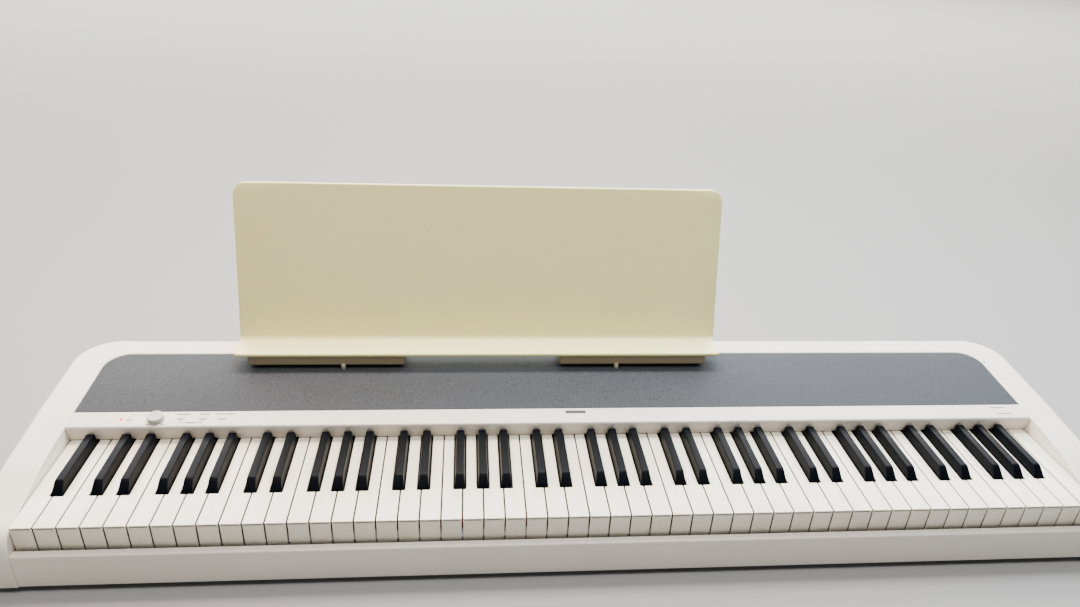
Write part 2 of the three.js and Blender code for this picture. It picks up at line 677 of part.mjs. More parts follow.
put(keyFrame, "top_case", topCase(), WHITE_CASE);
put(keyFrame, "bottom_case", bottomCase(), DARK_PLASTIC);
put(keyFrame, "key_slip", keySlip(), WHITE_CASE);
put(keyFrame, "control_strip", controlStrip(), WHITE_CASE);
put(keyFrame, "speaker_panel", speakerPanel(), GREY_PANEL);
put(keyFrame, "key_chassis", keyChassis(naturals.filter(middle)), STEEL);
put(keyFrame, "key_hinge_rod", rod("x", KEY_HINGE.radius, KEYS_WIDTH - 4, KEYS_WIDTH / 2,
  KEY_HINGE.y, KEY_HINGE.z, 12), STEEL);
put(keyFrame, "hammer_pivot_rod", rod("x", HAMMER_PIVOT.radius, KEYS_WIDTH - 4, KEYS_WIDTH / 2,
  HAMMER_PIVOT.y, HAMMER_PIVOT.z, 12), STEEL);
put(keyFrame, "key_stop_felt", keyStopFelt(), FELT);
put(keyFrame, "sensor_board", sensorBoard(), BOARD);
put(keyFrame, "main_board", mainBoard(), BOARD);
put(keyFrame, "rear_sockets", rearSockets(), DARK_PLASTIC);
put(keyFrame, "speaker_left", speaker(110), DARK_PLASTIC);
put(keyFrame, "speaker_right", speaker(KEYS_WIDTH - 110), DARK_PLASTIC);

for (const { name, x, y } of FEET) {
  put(keyFrame, name, rubberFoot(), RUBBER).position.set(x, y, 0);
}

put(strip, "panel_board", panelBoard(), BOARD);
put(strip, "power_lamp", ledLens(CONTROLS.led), CLEAR_RED);
put(strip, "power_button", powerButton(CONTROLS.power), WHITE_CASE);
put(strip, "volume_knob", knob(CONTROLS.knob), KNOB_GREY);
for (const name of ["sound", "effect", "metronome"]) {
  put(strip, `${name}_button`, button(CONTROLS[name]), WHITE_CASE);
}

put(keyFrame, "music_rest", musicRest(), CREAM);
for (const foot of REST_FEET) {
  put(keyFrame, `rest_foot_${foot.side}`, restFoot(foot), CREAM);
}

const REGISTERS = {
  bass: (key) => key.index < FIRST_MIDDLE,
  treble: (key) => key.index > LAST_MIDDLE,
};
for (const [register, within] of Object.entries(REGISTERS)) {
  const low = naturals.filter(within);
  const high = sharps.filter(within);
  put(keyFrame, `keys_${register}_naturals`, naturalComb(low), KEY_WHITE);
  put(keyFrame, `keys_${register}_sharps`, sharpComb(high), KEY_BLACK);
  put(keyFrame, `hammers_${register}_naturals`, naturalHammerComb(low), STEEL);
  put(keyFrame, `hammers_${register}_sharps`, sharpHammerComb(high), STEEL);
}

for (const key of naturals.filter(middle)) {
  put(keyFrame, `key_${key.name}`, hollowNatural(key), KEY_WHITE);
  put(keyFrame, `hammer_${key.name}`, hammer(key.centre), STEEL);
}
for (const key of sharps.filter(middle)) {
  put(keyFrame, `key_${key.name}`, sharpKey(key), KEY_BLACK);
  put(keyFrame, `hammer_${key.name}`, hammer(key.centre), STEEL);
}

export default piano;
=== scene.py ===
import json
import math

import bmesh
import bpy
from mathutils import Matrix, Vector


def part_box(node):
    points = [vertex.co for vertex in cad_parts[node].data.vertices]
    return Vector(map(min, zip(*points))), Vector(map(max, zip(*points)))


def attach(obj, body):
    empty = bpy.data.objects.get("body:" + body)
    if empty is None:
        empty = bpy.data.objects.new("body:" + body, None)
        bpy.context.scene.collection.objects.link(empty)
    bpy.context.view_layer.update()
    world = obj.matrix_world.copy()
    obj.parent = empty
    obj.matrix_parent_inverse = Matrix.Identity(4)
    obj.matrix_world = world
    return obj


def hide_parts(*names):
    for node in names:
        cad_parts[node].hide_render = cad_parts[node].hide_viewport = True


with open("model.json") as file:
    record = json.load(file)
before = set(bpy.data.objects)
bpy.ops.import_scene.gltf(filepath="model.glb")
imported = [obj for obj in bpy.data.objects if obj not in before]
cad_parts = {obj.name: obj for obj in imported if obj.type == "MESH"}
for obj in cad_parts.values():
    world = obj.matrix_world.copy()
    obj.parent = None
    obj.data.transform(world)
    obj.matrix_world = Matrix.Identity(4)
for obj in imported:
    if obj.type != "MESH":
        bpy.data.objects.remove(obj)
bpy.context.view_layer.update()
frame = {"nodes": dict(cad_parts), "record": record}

# ---- driving dimensions (mm)
MM = 0.001
PITCH = 23.5
NATURALS = 52
KEYS_WIDTH = NATURALS * PITCH
KEY_GAP = 1.0
HEAD = 49.0
NATURAL_REAR = 228.0
KEY_BODY_BOTTOM = -18.0
KEY_FOOT_Y = (89.0, 91.5)
KEY_FOOT_BOTTOM = -44.3
KEY_FOOT_HALF = 2.5
SHARP_HALF = 6.3
SHARP_CLEAR = 1.0
ARM = 45.0
CHEEK = 1.0
SEAM = 0.3
BODY_FRONT, BODY_REAR = -13.0, 325.0
CASE_BOTTOM = -72.0
FLOOR_Z = -80.0
WALL = 2.5
PANEL_FRONT, PANEL_REAR = 171.0, 289.0
PANEL_FRONT_Z = 24.5
RAIL_Y, RAIL_Z = 300.0, 36.0
PANEL_SLOPE = (RAIL_Z - PANEL_FRONT_Z) / (RAIL_Y - PANEL_FRONT)
PANEL_SUNK = 0.4
PANEL_CORNER = 29.0
REAR_CORNER = 50.0
STRIP_FRONT, STRIP_EDGE_Z = 145.0, 21.0
STRIP_TILT = math.atan((PANEL_FRONT_Z - STRIP_EDGE_Z) / (PANEL_FRONT - STRIP_FRONT))
REST_LEFT, REST_RIGHT = 170.6, 823.4
REST_FOLD = (289.3, 57.7)
REST_LEAN = math.radians(16)
REST_HEIGHT = 210.7
REST_THICK = 4.0
LEDGE_FRONT = (252.7, 56.1)
LEDGE_THICK = 5.0
PIN_Y = 255.9
REST_FEET = {"left": (186.0, 392.0, 310.0), "right": (600.0, 805.0, 680.0)}

bass_low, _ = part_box("keys_bass_naturals")
_, middle_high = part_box("key_C4")
ORIGIN = Vector((bass_low.x - KEY_GAP / 2 * MM, bass_low.y, middle_high.z))


def place(point):
    return ORIGIN + Vector(point) * MM


# ---- camera
CAMERA_AT = (472.9, -651.8, 611.7)
CAMERA_RIGHT = (0.9956, -0.0810, 0.0475)
CAMERA_FORWARD = (0.0938, 0.8801, -0.4655)
CAMERA_LENS = 26.18
SENSOR_WIDTH = 36.0


def make_camera():
    data = bpy.data.cameras.new("camera")
    camera = bpy.data.objects.new("camera", data)
    bpy.context.scene.collection.objects.link(camera)
    data.sensor_width = SENSOR_WIDTH
    data.lens = CAMERA_LENS
    forward = Vector(CAMERA_FORWARD).normalized()
    right = Vector(CAMERA_RIGHT)
    right = (right - forward * right.dot(forward)).normalized()
    up = right.cross(forward)
    turn = Matrix((right, up, -forward)).transposed().to_4x4()
    camera.matrix_world = Matrix.Translation(place(CAMERA_AT)) @ turn
    bpy.context.scene.camera = camera


make_camera()


# ---- node helpers for materials
class Nodes:
    """A material's node tree with short calls for the nodes used here."""

    def __init__(self, name, roughness, metallic=0.0, ior=1.5):
        self.material = bpy.data.materials.new(name)
        self.material.use_nodes = True
        self.tree = self.material.node_tree
        self.shader = self.tree.nodes["Principled BSDF"]
        self.set("Roughness", roughness)
        self.set("Metallic", metallic)
        self.set("IOR", ior)
        self.coords = self.add("ShaderNodeTexCoord").outputs["Object"]

    def add(self, kind, **options):
        node = self.tree.nodes.new(kind)
        for key, value in options.items():
            setattr(node, key, value)
        return node

    def link(self, output, target):
        self.tree.links.new(output, target)

    def set(self, socket, value):
        self.shader.inputs[socket].default_value = value

    def feed(self, socket, output):
        self.link(output, self.shader.inputs[socket])

    def scaled(self, scale):
        node = self.add("ShaderNodeMapping")
        node.inputs["Scale"].default_value = scale
        self.link(self.coords, node.inputs["Vector"])
        return node.outputs["Vector"]

    def noise(self, scale, detail=3.0, rough=0.5, stretch=(1, 1, 1)):
        node = self.add("ShaderNodeTexNoise")
        node.inputs["Scale"].default_value = scale
        node.inputs["Detail"].default_value = detail
        node.inputs["Roughness"].default_value = rough
        self.link(self.scaled(stretch), node.inputs["Vector"])
        return node.outputs["Fac"]

    def voronoi(self, scale, feature="F1", stretch=(1, 1, 1)):
        node = self.add("ShaderNodeTexVoronoi", feature=feature)
        node.inputs["Scale"].default_value = scale
        self.link(self.scaled(stretch), node.inputs["Vector"])
        return node.outputs["Distance"]

    def wave(self, scale, direction):
        node = self.add("ShaderNodeTexWave", bands_direction=direction, wave_profile="SIN")
        node.inputs["Scale"].default_value = scale
        node.inputs["Distortion"].default_value = 0.0
        self.link(self.coords, node.inputs["Vector"])
        return node.outputs["Fac"]

    def span(self, value, low, high, to_low, to_high):
        node = self.add("ShaderNodeMapRange")
        for key, number in (("From Min", low), ("From Max", high),
                            ("To Min", to_low), ("To Max", to_high)):
            node.inputs[key].default_value = number
        self.link(value, node.inputs["Value"])
        return node.outputs["Result"]

    def maths(self, operation, a, b):
        node = self.add("ShaderNodeMath", operation=operation)
        for slot, value in zip(node.inputs, (a, b)):
            if isinstance(value, (int, float)):
                slot.default_value = value
            else:
                self.link(value, slot)
        return node.outputs[0]

    def blend(self, factor, a, b):
        node = self.add("ShaderNodeMix", data_type="RGBA")
        for key, value in (("Factor", factor), ("A", a), ("B", b)):
            slot = [s for s in node.inputs if s.name == key and s.enabled][0]
            if isinstance(value, (int, float)):
                slot.default_value = value
            elif isinstance(value, tuple):
                slot.default_value = (*value, 1.0)
            else:
                self.link(value, slot)
        return [s for s in node.outputs if s.enabled][0]

    def tint(self, factor, a, b, socket="Base Color"):
        """Feeds a colour between two sRGB colours."""
        self.feed(socket, self.blend(factor, linear(*a), linear(*b)))

    def bump(self, height, strength, distance_mm, normal=None):
        node = self.add("ShaderNodeBump")
        node.inputs["Strength"].default_value = strength
        node.inputs["Distance"].default_value = distance_mm * MM
        self.link(height, node.inputs["Height"])
        if normal is not None:
            self.link(normal, node.inputs["Normal"])
        return node.outputs["Normal"]


def linear(red, green, blue):
    """An sRGB colour from 0 to 255 as linear light."""
    def channel(value):
        value /= 255.0
        return value / 12.92 if value <= 0.04045 else ((value + 0.055) / 1.055) ** 2.4
    return tuple(channel(value) for value in (red, green, blue))


def moulded_plastic(name, colour, shade, roughness, grain=0.25, grain_scale=1400.0,
                    handling=0.08):
    """Injection-moulded plastic: spark grain, faint mottling and handled patches."""
    n = Nodes(name, roughness)
    mottle = n.span(n.noise(9.0, 4.0), 0.35, 0.65, 0.0, 1.0)
    fine = n.span(n.noise(240.0, 2.0), 0.3, 0.7, 0.0, 0.35)
    n.tint(n.maths("MULTIPLY", n.maths("ADD", mottle, fine), 0.5), colour, shade)
    handled = n.noise(26.0, 5.0, 0.6)
    n.feed("Roughness", n.span(handled, 0.3, 0.7, roughness - handling, roughness + handling))
    grain_out = n.noise(grain_scale, 2.0, 0.6)
    soft = n.bump(n.noise(60.0, 2.0), 0.75 * handling, 0.4)
    n.feed("Normal", n.bump(grain_out, grain, 0.05, soft))
    return n


def white_case_material():
    n = moulded_plastic("white_case_plastic", (230, 223, 211), (223, 215, 202), 0.4)
    n.set("Specular IOR Level", 0.45)
    return n.material


def cream_material():
    n = moulded_plastic("cream_rest_plastic", (250, 240, 178), (248, 237, 174),
                        0.34, grain=0.08, grain_scale=700.0, handling=0.02)
    n.set("Subsurface Weight", 0.9)
    n.set("Subsurface Radius", (0.016, 0.012, 0.007))
    return n.material


def panel_material():
    """Fine speaker cloth: crossing threads with uneven light and dark stitches."""
    n = Nodes("speaker_cloth", 0.7)
    warp = n.wave(300.0, "X")
    weft = n.wave(300.0, "Y")
    weave = n.maths("MULTIPLY", warp, weft)
    stitch = n.noise(620.0, 2.0, 0.7, (1, 1.5, 1))
    cloud = n.noise(12.0, 4.0)
    light = linear(76, 81, 87)
    dark = linear(28, 30, 33)
    speckle = n.span(stitch, 0.36, 0.64, 0.0, 1.0)
    body = n.blend(speckle, dark, light)
    threads = n.blend(n.span(weave, 0.0, 1.0, 0.0, 0.35), body, linear(18, 19, 21))
    n.feed("Base Color", n.blend(n.span(cloud, 0.3, 0.7, 0.0, 0.22), threads,
                                 linear(54, 58, 62)))
    n.feed("Roughness", n.span(stitch, 0.3, 0.7, 0.55, 0.8))
    height = n.maths("ADD", weave, speckle)
    n.feed("Normal", n.bump(height, 0.5, 0.25))
    n.set("Specular IOR Level", 0.3)
    return n.material


def natural_key_material():
    """Polished resin: faint marbling, finger-dulled patches and hairline scratches."""
    n = Nodes("natural_key_resin", 0.2)
    marble = n.span(n.noise(38.0, 5.0, 0.6, (1, 0.4, 1)), 0.3, 0.7, 0.0, 1.0)
    n.tint(marble, (240, 233, 215), (233, 225, 206))
    smudge = n.noise(55.0, 4.0, 0.65)
    scratch = n.noise(900.0, 2.0, 0.5, (1, 0.06, 1))
    rough = n.maths("ADD", n.span(smudge, 0.35, 0.7, 0.12, 0.3),
                    n.span(scratch, 0.55, 0.75, 0.0, 0.12))
    n.feed("Roughness", rough)
    n.feed("Normal", n.bump(scratch, 0.04, 0.03))
    n.set("Coat Weight", 0.25)
    n.set("Coat Roughness", 0.12)
    return n.material


def sharp_key_material():
    """Satin black resin with a blue cast, faintly scuffed by playing."""
    n = Nodes("sharp_key_resin", 0.5, ior=1.3)
    scuff = n.noise(130.0, 5.0, 0.7, (1, 0.35, 1))
    n.tint(n.span(scuff, 0.45, 0.75, 0.0, 0.6), (2, 4, 9), (6, 10, 19))
    n.feed("Roughness", n.span(scuff, 0.3, 0.7, 0.38, 0.5))
    n.set("Specular IOR Level", 0.16)
    return n.material


def steel_material():
    """Zinc-plated sheet: streaks along the rolling direction and cloudy spangle."""
    n = Nodes("plated_steel", 0.4, metallic=0.9)
    streak = n.noise(300.0, 3.0, 0.5, (0.03, 1, 1))
    spangle = n.voronoi(70.0)
    tone = n.maths("ADD", n.span(streak, 0.3, 0.7, 0.0, 0.5), n.span(spangle, 0, 0.6, 0, 0.5))
    n.tint(tone, (150, 152, 155), (198, 200, 202))
    n.feed("Roughness", n.span(streak, 0.3, 0.7, 0.3, 0.5))
    n.feed("Normal", n.bump(streak, 0.1, 0.05))
    return n.material


def felt_material():
    n = Nodes("red_felt", 0.95)
    fibre = n.noise(500.0, 5.0, 0.7)
    n.tint(n.span(fibre, 0.3, 0.7, 0, 1), (120, 38, 34), (158, 60, 52))
    n.feed("Normal", n.bump(fibre, 0.8, 0.4))
    n.set("Sheen Weight", 0.4)
    return n.material


def board_material():
    """Green solder mask over faint copper tracks."""
    n = Nodes("circuit_board", 0.4)
    tracks = n.voronoi(120.0, "DISTANCE_TO_EDGE", (1, 3, 1))
    line = n.span(tracks, 0.02, 0.06, 1.0, 0.0)
    n.tint(n.maths("MULTIPLY", line, 0.6), (24, 74, 46), (66, 128, 78))
    n.feed("Roughness", n.span(n.noise(80.0), 0.3, 0.7, 0.3, 0.5))
    n.feed("Normal", n.bump(line, 0.2, 0.05))
    return n.material


def lamp_material():
    """A lit red lens, a little uneven where the light behind it shows through."""
    n = Nodes("red_lamp_lens", 0.12)
    glow = n.noise(500.0, 2.0)
    n.tint(glow, (255, 40, 24), (225, 24, 14))
    n.tint(glow, (255, 58, 34), (255, 22, 12), "Emission Color")
    n.set("Emission Strength", 1.6)
    n.set("Coat Weight", 0.6)
    return n.material


def milky_pin_material():
    """Milky moulded plastic that lets a little light through."""
    n = Nodes("milky_pin_plastic", 0.22)
    cloud = n.noise(120.0, 3.0)
    n.tint(cloud, (226, 216, 190), (204, 192, 164))
    n.feed("Roughness", n.span(cloud, 0.3, 0.7, 0.16, 0.3))
    n.set("Transmission Weight", 0.3)
    return n.material


def ink_material():
    n = Nodes("printed_marks", 0.5)
    wear = n.noise(900.0, 3.0, 0.6)
    n.tint(n.span(wear, 0.35, 0.65, 0, 1), (30, 29, 28), (44, 42, 40))
    n.feed("Roughness", n.span(wear, 0.3, 0.7, 0.42, 0.6))
    return n.material


def screw_material():
    n = Nodes("screw_steel", 0.35, metallic=1.0)
    ring = n.noise(700.0, 3.0, 0.6)
    n.tint(ring, (120, 121, 124), (170, 171, 174))
    n.feed("Roughness", n.span(ring, 0.3, 0.7, 0.28, 0.5))
    return n.material


LOOKS = {
    "white_case": white_case_material(),
    "dark_plastic": moulded_plastic("dark_plastic", (66, 67, 70), (54, 55, 58),
                                    0.55, grain=0.5, grain_scale=800.0).material,
    "cream_plastic": cream_material(),
    "grey_panel": panel_material(),
    "key_white": natural_key_material(),
    "key_black": sharp_key_material(),
    "button_white": moulded_plastic("button_plastic", (214, 209, 202),
                                    (204, 198, 191), 0.34, grain=0.12).material,
    "knob_grey": moulded_plastic("knob_plastic", (186, 183, 180),
                                 (172, 169, 166), 0.35, grain=0.12,
                                 grain_scale=900.0).material,
    "red_lens": lamp_material(),
    "rubber": moulded_plastic("black_rubber", (38, 38, 40), (28, 28, 30), 0.85,
                              grain=0.5, grain_scale=900.0).material,
    "steel": steel_material(),
    "felt": felt_material(),
    "circuit_board": board_material(),
}
PIN_PLASTIC = milky_pin_material()
# Dark colour for the keys' bodies and feet: painted shade, so the gaps between naturals read
# dark
KEY_GAP_SHADE = moulded_plastic("key_core_plastic", (58, 55, 52), (44, 42, 40),
                           0.7).material
# The brackets' plastic is the rest's cream darkened as painted shade for their place under the
# ledge
REST_BRACKET_SHADE = moulded_plastic("rest_bracket_plastic", (160, 145, 116), (150, 135, 106),
                          0.16, grain=0.04, grain_scale=700.0).material
INK = ink_material()
SCREW = screw_material()

node_slots = {part["node"]: part["material_slot"] for part in frame["record"]["subparts"]}
for node_name, node_object in frame["nodes"].items():
    node_object.data.materials.clear()
    node_object.data.materials.append(LOOKS[node_slots[node_name]])


# ---- mesh helpers
SAME_POINT = 1e-7  # metres
LEAST_RADIUS = 0.05
BOX_EDGE = 0.3


class Shape:
    """Points and faces of one piece, in millimetres in the key frame."""

    def __init__(self):
        self.points = []
        self.faces = []
        self.tones = []  # for each face, which of the piece's two materials it has
        self.tone = 0

    def loft(self, loops):
        """A skin through loops of equal length, with both ends capped."""
        start = len(self.points)
        size = len(loops[0])
        for loop in loops:
            self.points.extend(loop)
        last = len(self.points) - size
        for here in range(start, last, size):
            there = here + size
            for k in range(size):
                after = (k + 1) % size
                self.faces.append((here + k, here + after, there + after, there + k))
        self.faces.append(tuple(start + k for k in reversed(range(size))))
        self.faces.append(tuple(last + k for k in range(size)))
        self.tones += [self.tone] * (len(self.faces) - len(self.tones))
        return self

    def piece(self, name, body, slot, material=None, replaces=(), sharp=35.0, move=None,
              second=None):
        """One object of this shape; second is the material of the faces with tone 1."""
        mesh = bpy.data.meshes.new(name)
        placed = self.points if move is None else [move(p) for p in self.points]
        mesh.from_pydata([place(p) for p in placed], [], self.faces)
        mesh.materials.append(material or LOOKS[slot])
        if second:
            mesh.materials.append(second)
            mesh.polygons.foreach_set("material_index", self.tones)
        built = bmesh.new()
        built.from_mesh(mesh)
        bmesh.ops.remove_doubles(built, verts=built.verts, dist=SAME_POINT)
        bmesh.ops.dissolve_degenerate(built, edges=built.edges, dist=SAME_POINT)
        bmesh.ops.recalc_face_normals(built, faces=built.faces)
        for face in built.faces:
            face.smooth = True
        for edge in built.edges:
            turn = edge.calc_face_angle(0.0) if len(edge.link_faces) == 2 else math.pi
            edge.smooth = turn < math.radians(sharp)
        built.to_mesh(mesh)
        built.free()
        made = bpy.data.objects.new(name, mesh)
        bpy.context.scene.collection.objects.link(made)
        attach(made, body)
        if replaces:
            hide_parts(*replaces)
        return made


def arc(centre, radius, start, end, steps):
    """Points of a plane arc, angles in degrees, both ends included."""
    angles = [math.radians(start + (end - start) * k / steps) for k in range(steps + 1)]
    return [(centre[0] + radius * math.cos(a), centre[1] + radius * math.sin(a))
            for a in angles]


def circle(x, y, radius, sides=32):
    return [(x + radius * math.cos(a), y + radius * math.sin(a))
            for a in (2 * math.pi * k / sides for k in range(sides))]


def bezier(a, b, c, d, steps):
    """Points of a plane cubic curve, without its first point."""
    made = []
    for k in range(1, steps + 1):
        t = k / steps
        s = 1 - t
        made.append(tuple(s ** 3 * a[i] + 3 * s * s * t * b[i] + 3 * s * t * t * c[i]
                          + t ** 3 * d[i] for i in (0, 1)))
    return made


def rounded_box(x0, x1, y0, y1, radii, steps):
    """A rectangle's outline with its own radius at each corner, from front left round."""
    front_left, front_right, rear_right, rear_left = radii
    return (arc((x0 + front_left, y0 + front_left), front_left, 180, 270, steps)
            + arc((x1 - front_right, y0 + front_right), front_right, 270, 360, steps)
            + arc((x1 - rear_right, y1 - rear_right), rear_right, 0, 90, steps)
            + arc((x0 + rear_left, y1 - rear_left), rear_left, 90, 180, steps))


def soft_edge(radius, steps):
    """(inset, drop) pairs from the side wall up to the top face over a rounded edge."""
    return [(radius * (1 - math.cos(a)), radius * (1 - math.sin(a)))
            for a in (math.radians(90 * k / steps) for k in range(steps + 1))]


def slab(shape, outline, bottom, top, radius, steps, low_radius=0.0):
    """A closed slab: outline(inset) gives its plan, and its edges are rounded."""
    loops = []
    if low_radius:
        for inset, drop in reversed(soft_edge(low_radius, steps)):
            loops.append([(x, y, bottom + drop) for x, y in outline(inset)])
    else:
        loops.append([(x, y, bottom) for x, y in outline(0.0)])
    for inset, drop in soft_edge(radius, steps):
        loops.append([(x, y, top - drop) for x, y in outline(inset)])
    return shape.loft(loops)


def box_shape(shape, x0, x1, y0, y1, z0, z1):
    def outline(inset):
        radius = max(BOX_EDGE - inset, 0.01)
        return rounded_box(x0 + inset, x1 - inset, y0 + inset, y1 - inset, (radius,) * 4, 2)
    return slab(shape, outline, z0, z1, min(BOX_EDGE, (z1 - z0) / 3), 2)


def turned(shape, profile, centre, sides):
    """A [radius, height] profile turned about a vertical axis through centre."""
    x, y, z = centre
    return shape.loft([[(px, py, z + height)
                        for px, py in circle(x, y, max(radius, 0.001), sides)]
                       for radius, height in profile])


def cut(target, cutter):
    """Subtracts cutter from target's mesh for good, and removes it."""
    modifier = target.modifiers.new("cut", "BOOLEAN")
    modifier.operation = "DIFFERENCE"
    modifier.solver = "EXACT"
    modifier.object = cutter
    bpy.context.view_layer.update()
    shaped = bpy.data.meshes.new_from_object(
        target.evaluated_get(bpy.context.evaluated_depsgraph_get()))
    target.modifiers.clear()
    target.data = shaped
    bpy.data.objects.remove(cutter)


def cutter_object(shape, move=None):
    """The shape as an object to cut with, its faces turned outwards."""
    placed = shape.points if move is None else [move(p) for p in shape.points]
    mesh = bpy.data.meshes.new("cutter")
    mesh.from_pydata([place(p) for p in placed], [], shape.faces)
    built = bmesh.new()
    built.from_mesh(mesh)
    bmesh.ops.recalc_face_normals(built, faces=built.faces)
    built.to_mesh(mesh)
    built.free()
    made = bpy.data.objects.new("cutter", mesh)
    bpy.context.scene.collection.objects.link(made)
    return made


def on_strip(point):
    """From the control strip's own plane (x, y up the strip, z off it) to the key frame."""
    x, y, z = point
    cos, sin = math.cos(STRIP_TILT), math.sin(STRIP_TILT)
    return (x, STRIP_FRONT + y * cos - z * sin, STRIP_EDGE_Z + y * sin + z * cos)


def case_top(y):
    return PANEL_FRONT_Z + (y - PANEL_FRONT) * PANEL_SLOPE


# ---- notes
GROUP_PLACE = {"C": 0, "D": 1, "E": 2, "F": 0, "G": 1, "A": 2, "B": 3}
SHARP_PLACE = {"C": 3 * 1.5 / 5, "D": 3 * 3.5 / 5, "F": 4 * 1.5 / 7, "G": 4 * 3.5 / 7,
               "A": 4 * 5.5 / 7}
FIRST_MIDDLE, LAST_MIDDLE = 23, 29


def lay_out_notes():
    naturals, sharps = [], []
    for index in range(NATURALS):
        letter = "ABCDEFG"[index % 7]
        octave = (index + 5) // 7
        left = index * PITCH
        naturals.append({"index": index, "name": f"{letter}{octave}",
                         "left": left + KEY_GAP / 2, "right": left + PITCH - KEY_GAP / 2})
        if letter in SHARP_PLACE and index < NATURALS - 1:
            centre = left + (SHARP_PLACE[letter] - GROUP_PLACE[letter]) * PITCH
            sharps.append({"index": index, "name": f"{letter}sharp{octave}",
                           "centre": centre})
    by_index = {sharp["index"]: sharp["centre"] for sharp in sharps}
    near = SHARP_HALF + SHARP_CLEAR
    for key in naturals:
        before = by_index.get(key["index"] - 1)
        after = by_index.get(key["index"])
        key["tail_left"] = key["left"] if before is None else before + near
        key["tail_right"] = key["right"] if after is None else after - near
    return naturals, sharps


def register_of(key):
    if key["index"] < FIRST_MIDDLE:
        return "bass"
    return "treble" if key["index"] > LAST_MIDDLE else "middle"


# ---- natural keys
def natural_plan(key, inset, front=0.0, corner=0.9):
    """A natural's outline with small rounded corners at its head and in its notches."""
    left, right = key["left"] + inset, key["right"] - inset
    tail_left, tail_right = key["tail_left"] + inset, key["tail_right"] - inset
    front, rear, head = front + inset, NATURAL_REAR - inset, HEAD - inset
    out = max(corner - inset, LEAST_RADIUS)
    within = corner + inset
    points = arc((left + out, front + out), out, 180, 270, 3)
    points += arc((right - out, front + out), out, 270, 360, 3)
    if key["tail_right"] < key["right"]:
        points += arc((right - out, head - out), out, 0, 90, 3)
        points += arc((tail_right + within, head + within), within, 270, 180, 3)
    points += [(tail_right, rear), (tail_left, rear)]
    if key["tail_left"] > key["left"]:
        points += arc((tail_left - within, head + within), within, 0, -90, 3)
        points += arc((left + out, head - out), out, 90, 180, 3)
    return points


CAP_THICK = 1.2
CAP_INSET = 0.3
CAP_EDGE = 0.5
GROOVE = 1.9  # between the cap and the front face
LIP = 0.8
FACE_THICK = 1.6
FACE_CORNER = 0.7
SKIRT_BOTTOM = -33.3
BODY_INSET = 1.3  # of the body below the cap, at each side; its dark colour is painted shade for the gaps between naturals


def add_foot(shape, centre, top):
    y0, y1 = KEY_FOOT_Y
    box_shape(shape, centre - KEY_FOOT_HALF, centre + KEY_FOOT_HALF, y0, y1,
              KEY_FOOT_BOTTOM, top)


def add_natural(shape, key):
    """A resin cap with a rounded edge and a small lip, its front face, and the key's body,
    coloured dark as painted shade in the gaps.
    """
    slab(shape, lambda inset: natural_plan(key, inset + CAP_INSET),
         -CAP_THICK, 0.0, CAP_EDGE, 4)

    def face(inset):
        corner = max(FACE_CORNER - inset, LEAST_RADIUS)
        return rounded_box(key["left"] + CAP_INSET + inset, key["right"] - CAP_INSET - inset,
                           LIP + inset, LIP + FACE_THICK - inset, (corner,) * 4, 2)
    slab(shape, face, SKIRT_BOTTOM, -CAP_THICK - GROOVE, 0.3, 2, low_radius=0.4)
    # faces from here on take the dark second material, painted shade in the gaps
    shape.tone = 1
    body = {name: key[name] + (BODY_INSET if "left" in name else -BODY_INSET)
            for name in ("left", "right", "tail_left", "tail_right")}
    body_front = LIP + FACE_THICK - 0.2
    slab(shape, lambda inset: natural_plan(body, inset, front=body_front, corner=0.6),
         KEY_BODY_BOTTOM, -CAP_THICK + 0.3, 0.05, 1)
    add_foot(shape, (key["tail_left"] + key["tail_right"]) / 2, KEY_BODY_BOTTOM)
    shape.tone = 0


# ---- sharp keys
SHARP_FRONT, SHARP_REAR = 50.6, 144.0
SHARP_TOP = 12.0
SHARP_LOW = -1.6
SHARP_TAPER = 1.75 / 12.0  # inwards, for each millimetre of height
SHARP_EDGE = 1.0
SHARP_BODY_HALF = 5.6
SHARP_BODY_REAR = 225.0


def sharp_section(centre, y, height):
    """A tapered section with rounded upper corners; height is its top above the keys."""
    radius = min(SHARP_EDGE, max(height + 1.2, 0.1) * 0.45)
    half = SHARP_HALF - SHARP_TAPER * max(height, 0.0)
    left = [(centre - half + radius + radius * math.cos(a), y,
             height - radius + radius * math.sin(a))
            for a in (math.radians(180 - 90 * k / 4) for k in range(5))]
    right = [(2 * centre - x, y, z) for x, _, z in reversed(left)]
    return ([(centre - SHARP_HALF, y, SHARP_LOW)] + left + right
            + [(centre + SHARP_HALF, y, SHARP_LOW)])


def add_sharp(shape, key):
    """The long tapered cap: sloping nose, softly rounded brow and a rounded back edge."""
    centre = key["centre"]
    nose = [(SHARP_FRONT, -1.2), (SHARP_FRONT + 0.25, -0.2), (SHARP_FRONT + 0.9, 1.0)]
    nose += bezier((SHARP_FRONT + 0.9, 1.0), (SHARP_FRONT + 5.4, 5.6),
                   (SHARP_FRONT + 8.4, 8.6), (SHARP_FRONT + 10.8, 10.5), 6)
    nose += bezier((SHARP_FRONT + 10.8, 10.5), (SHARP_FRONT + 11.8, 11.25),
                   (SHARP_FRONT + 12.6, 11.5), (SHARP_FRONT + 14.2, 11.55), 6)
    back = [(100.0, 11.8), (SHARP_REAR - 0.7, SHARP_TOP), (SHARP_REAR - 0.2, SHARP_TOP - 0.2),
            (SHARP_REAR, SHARP_TOP - 0.8)]
    shape.loft([sharp_section(centre, y, z) for y, z in nose + back])
    box_shape(shape, centre - SHARP_BODY_HALF, centre + SHARP_BODY_HALF, SHARP_FRONT + 4,
              SHARP_BODY_REAR, KEY_BODY_BOTTOM, SHARP_LOW - 0.05)
    add_foot(shape, centre, KEY_BODY_BOTTOM - 0.02)


NATURAL_BAR = (NATURAL_REAR - 1.0, NATURAL_REAR + 6.0, -16.0, -8.0)
SHARP_BAR = (214.0, 222.0, 1.5, 5.0)


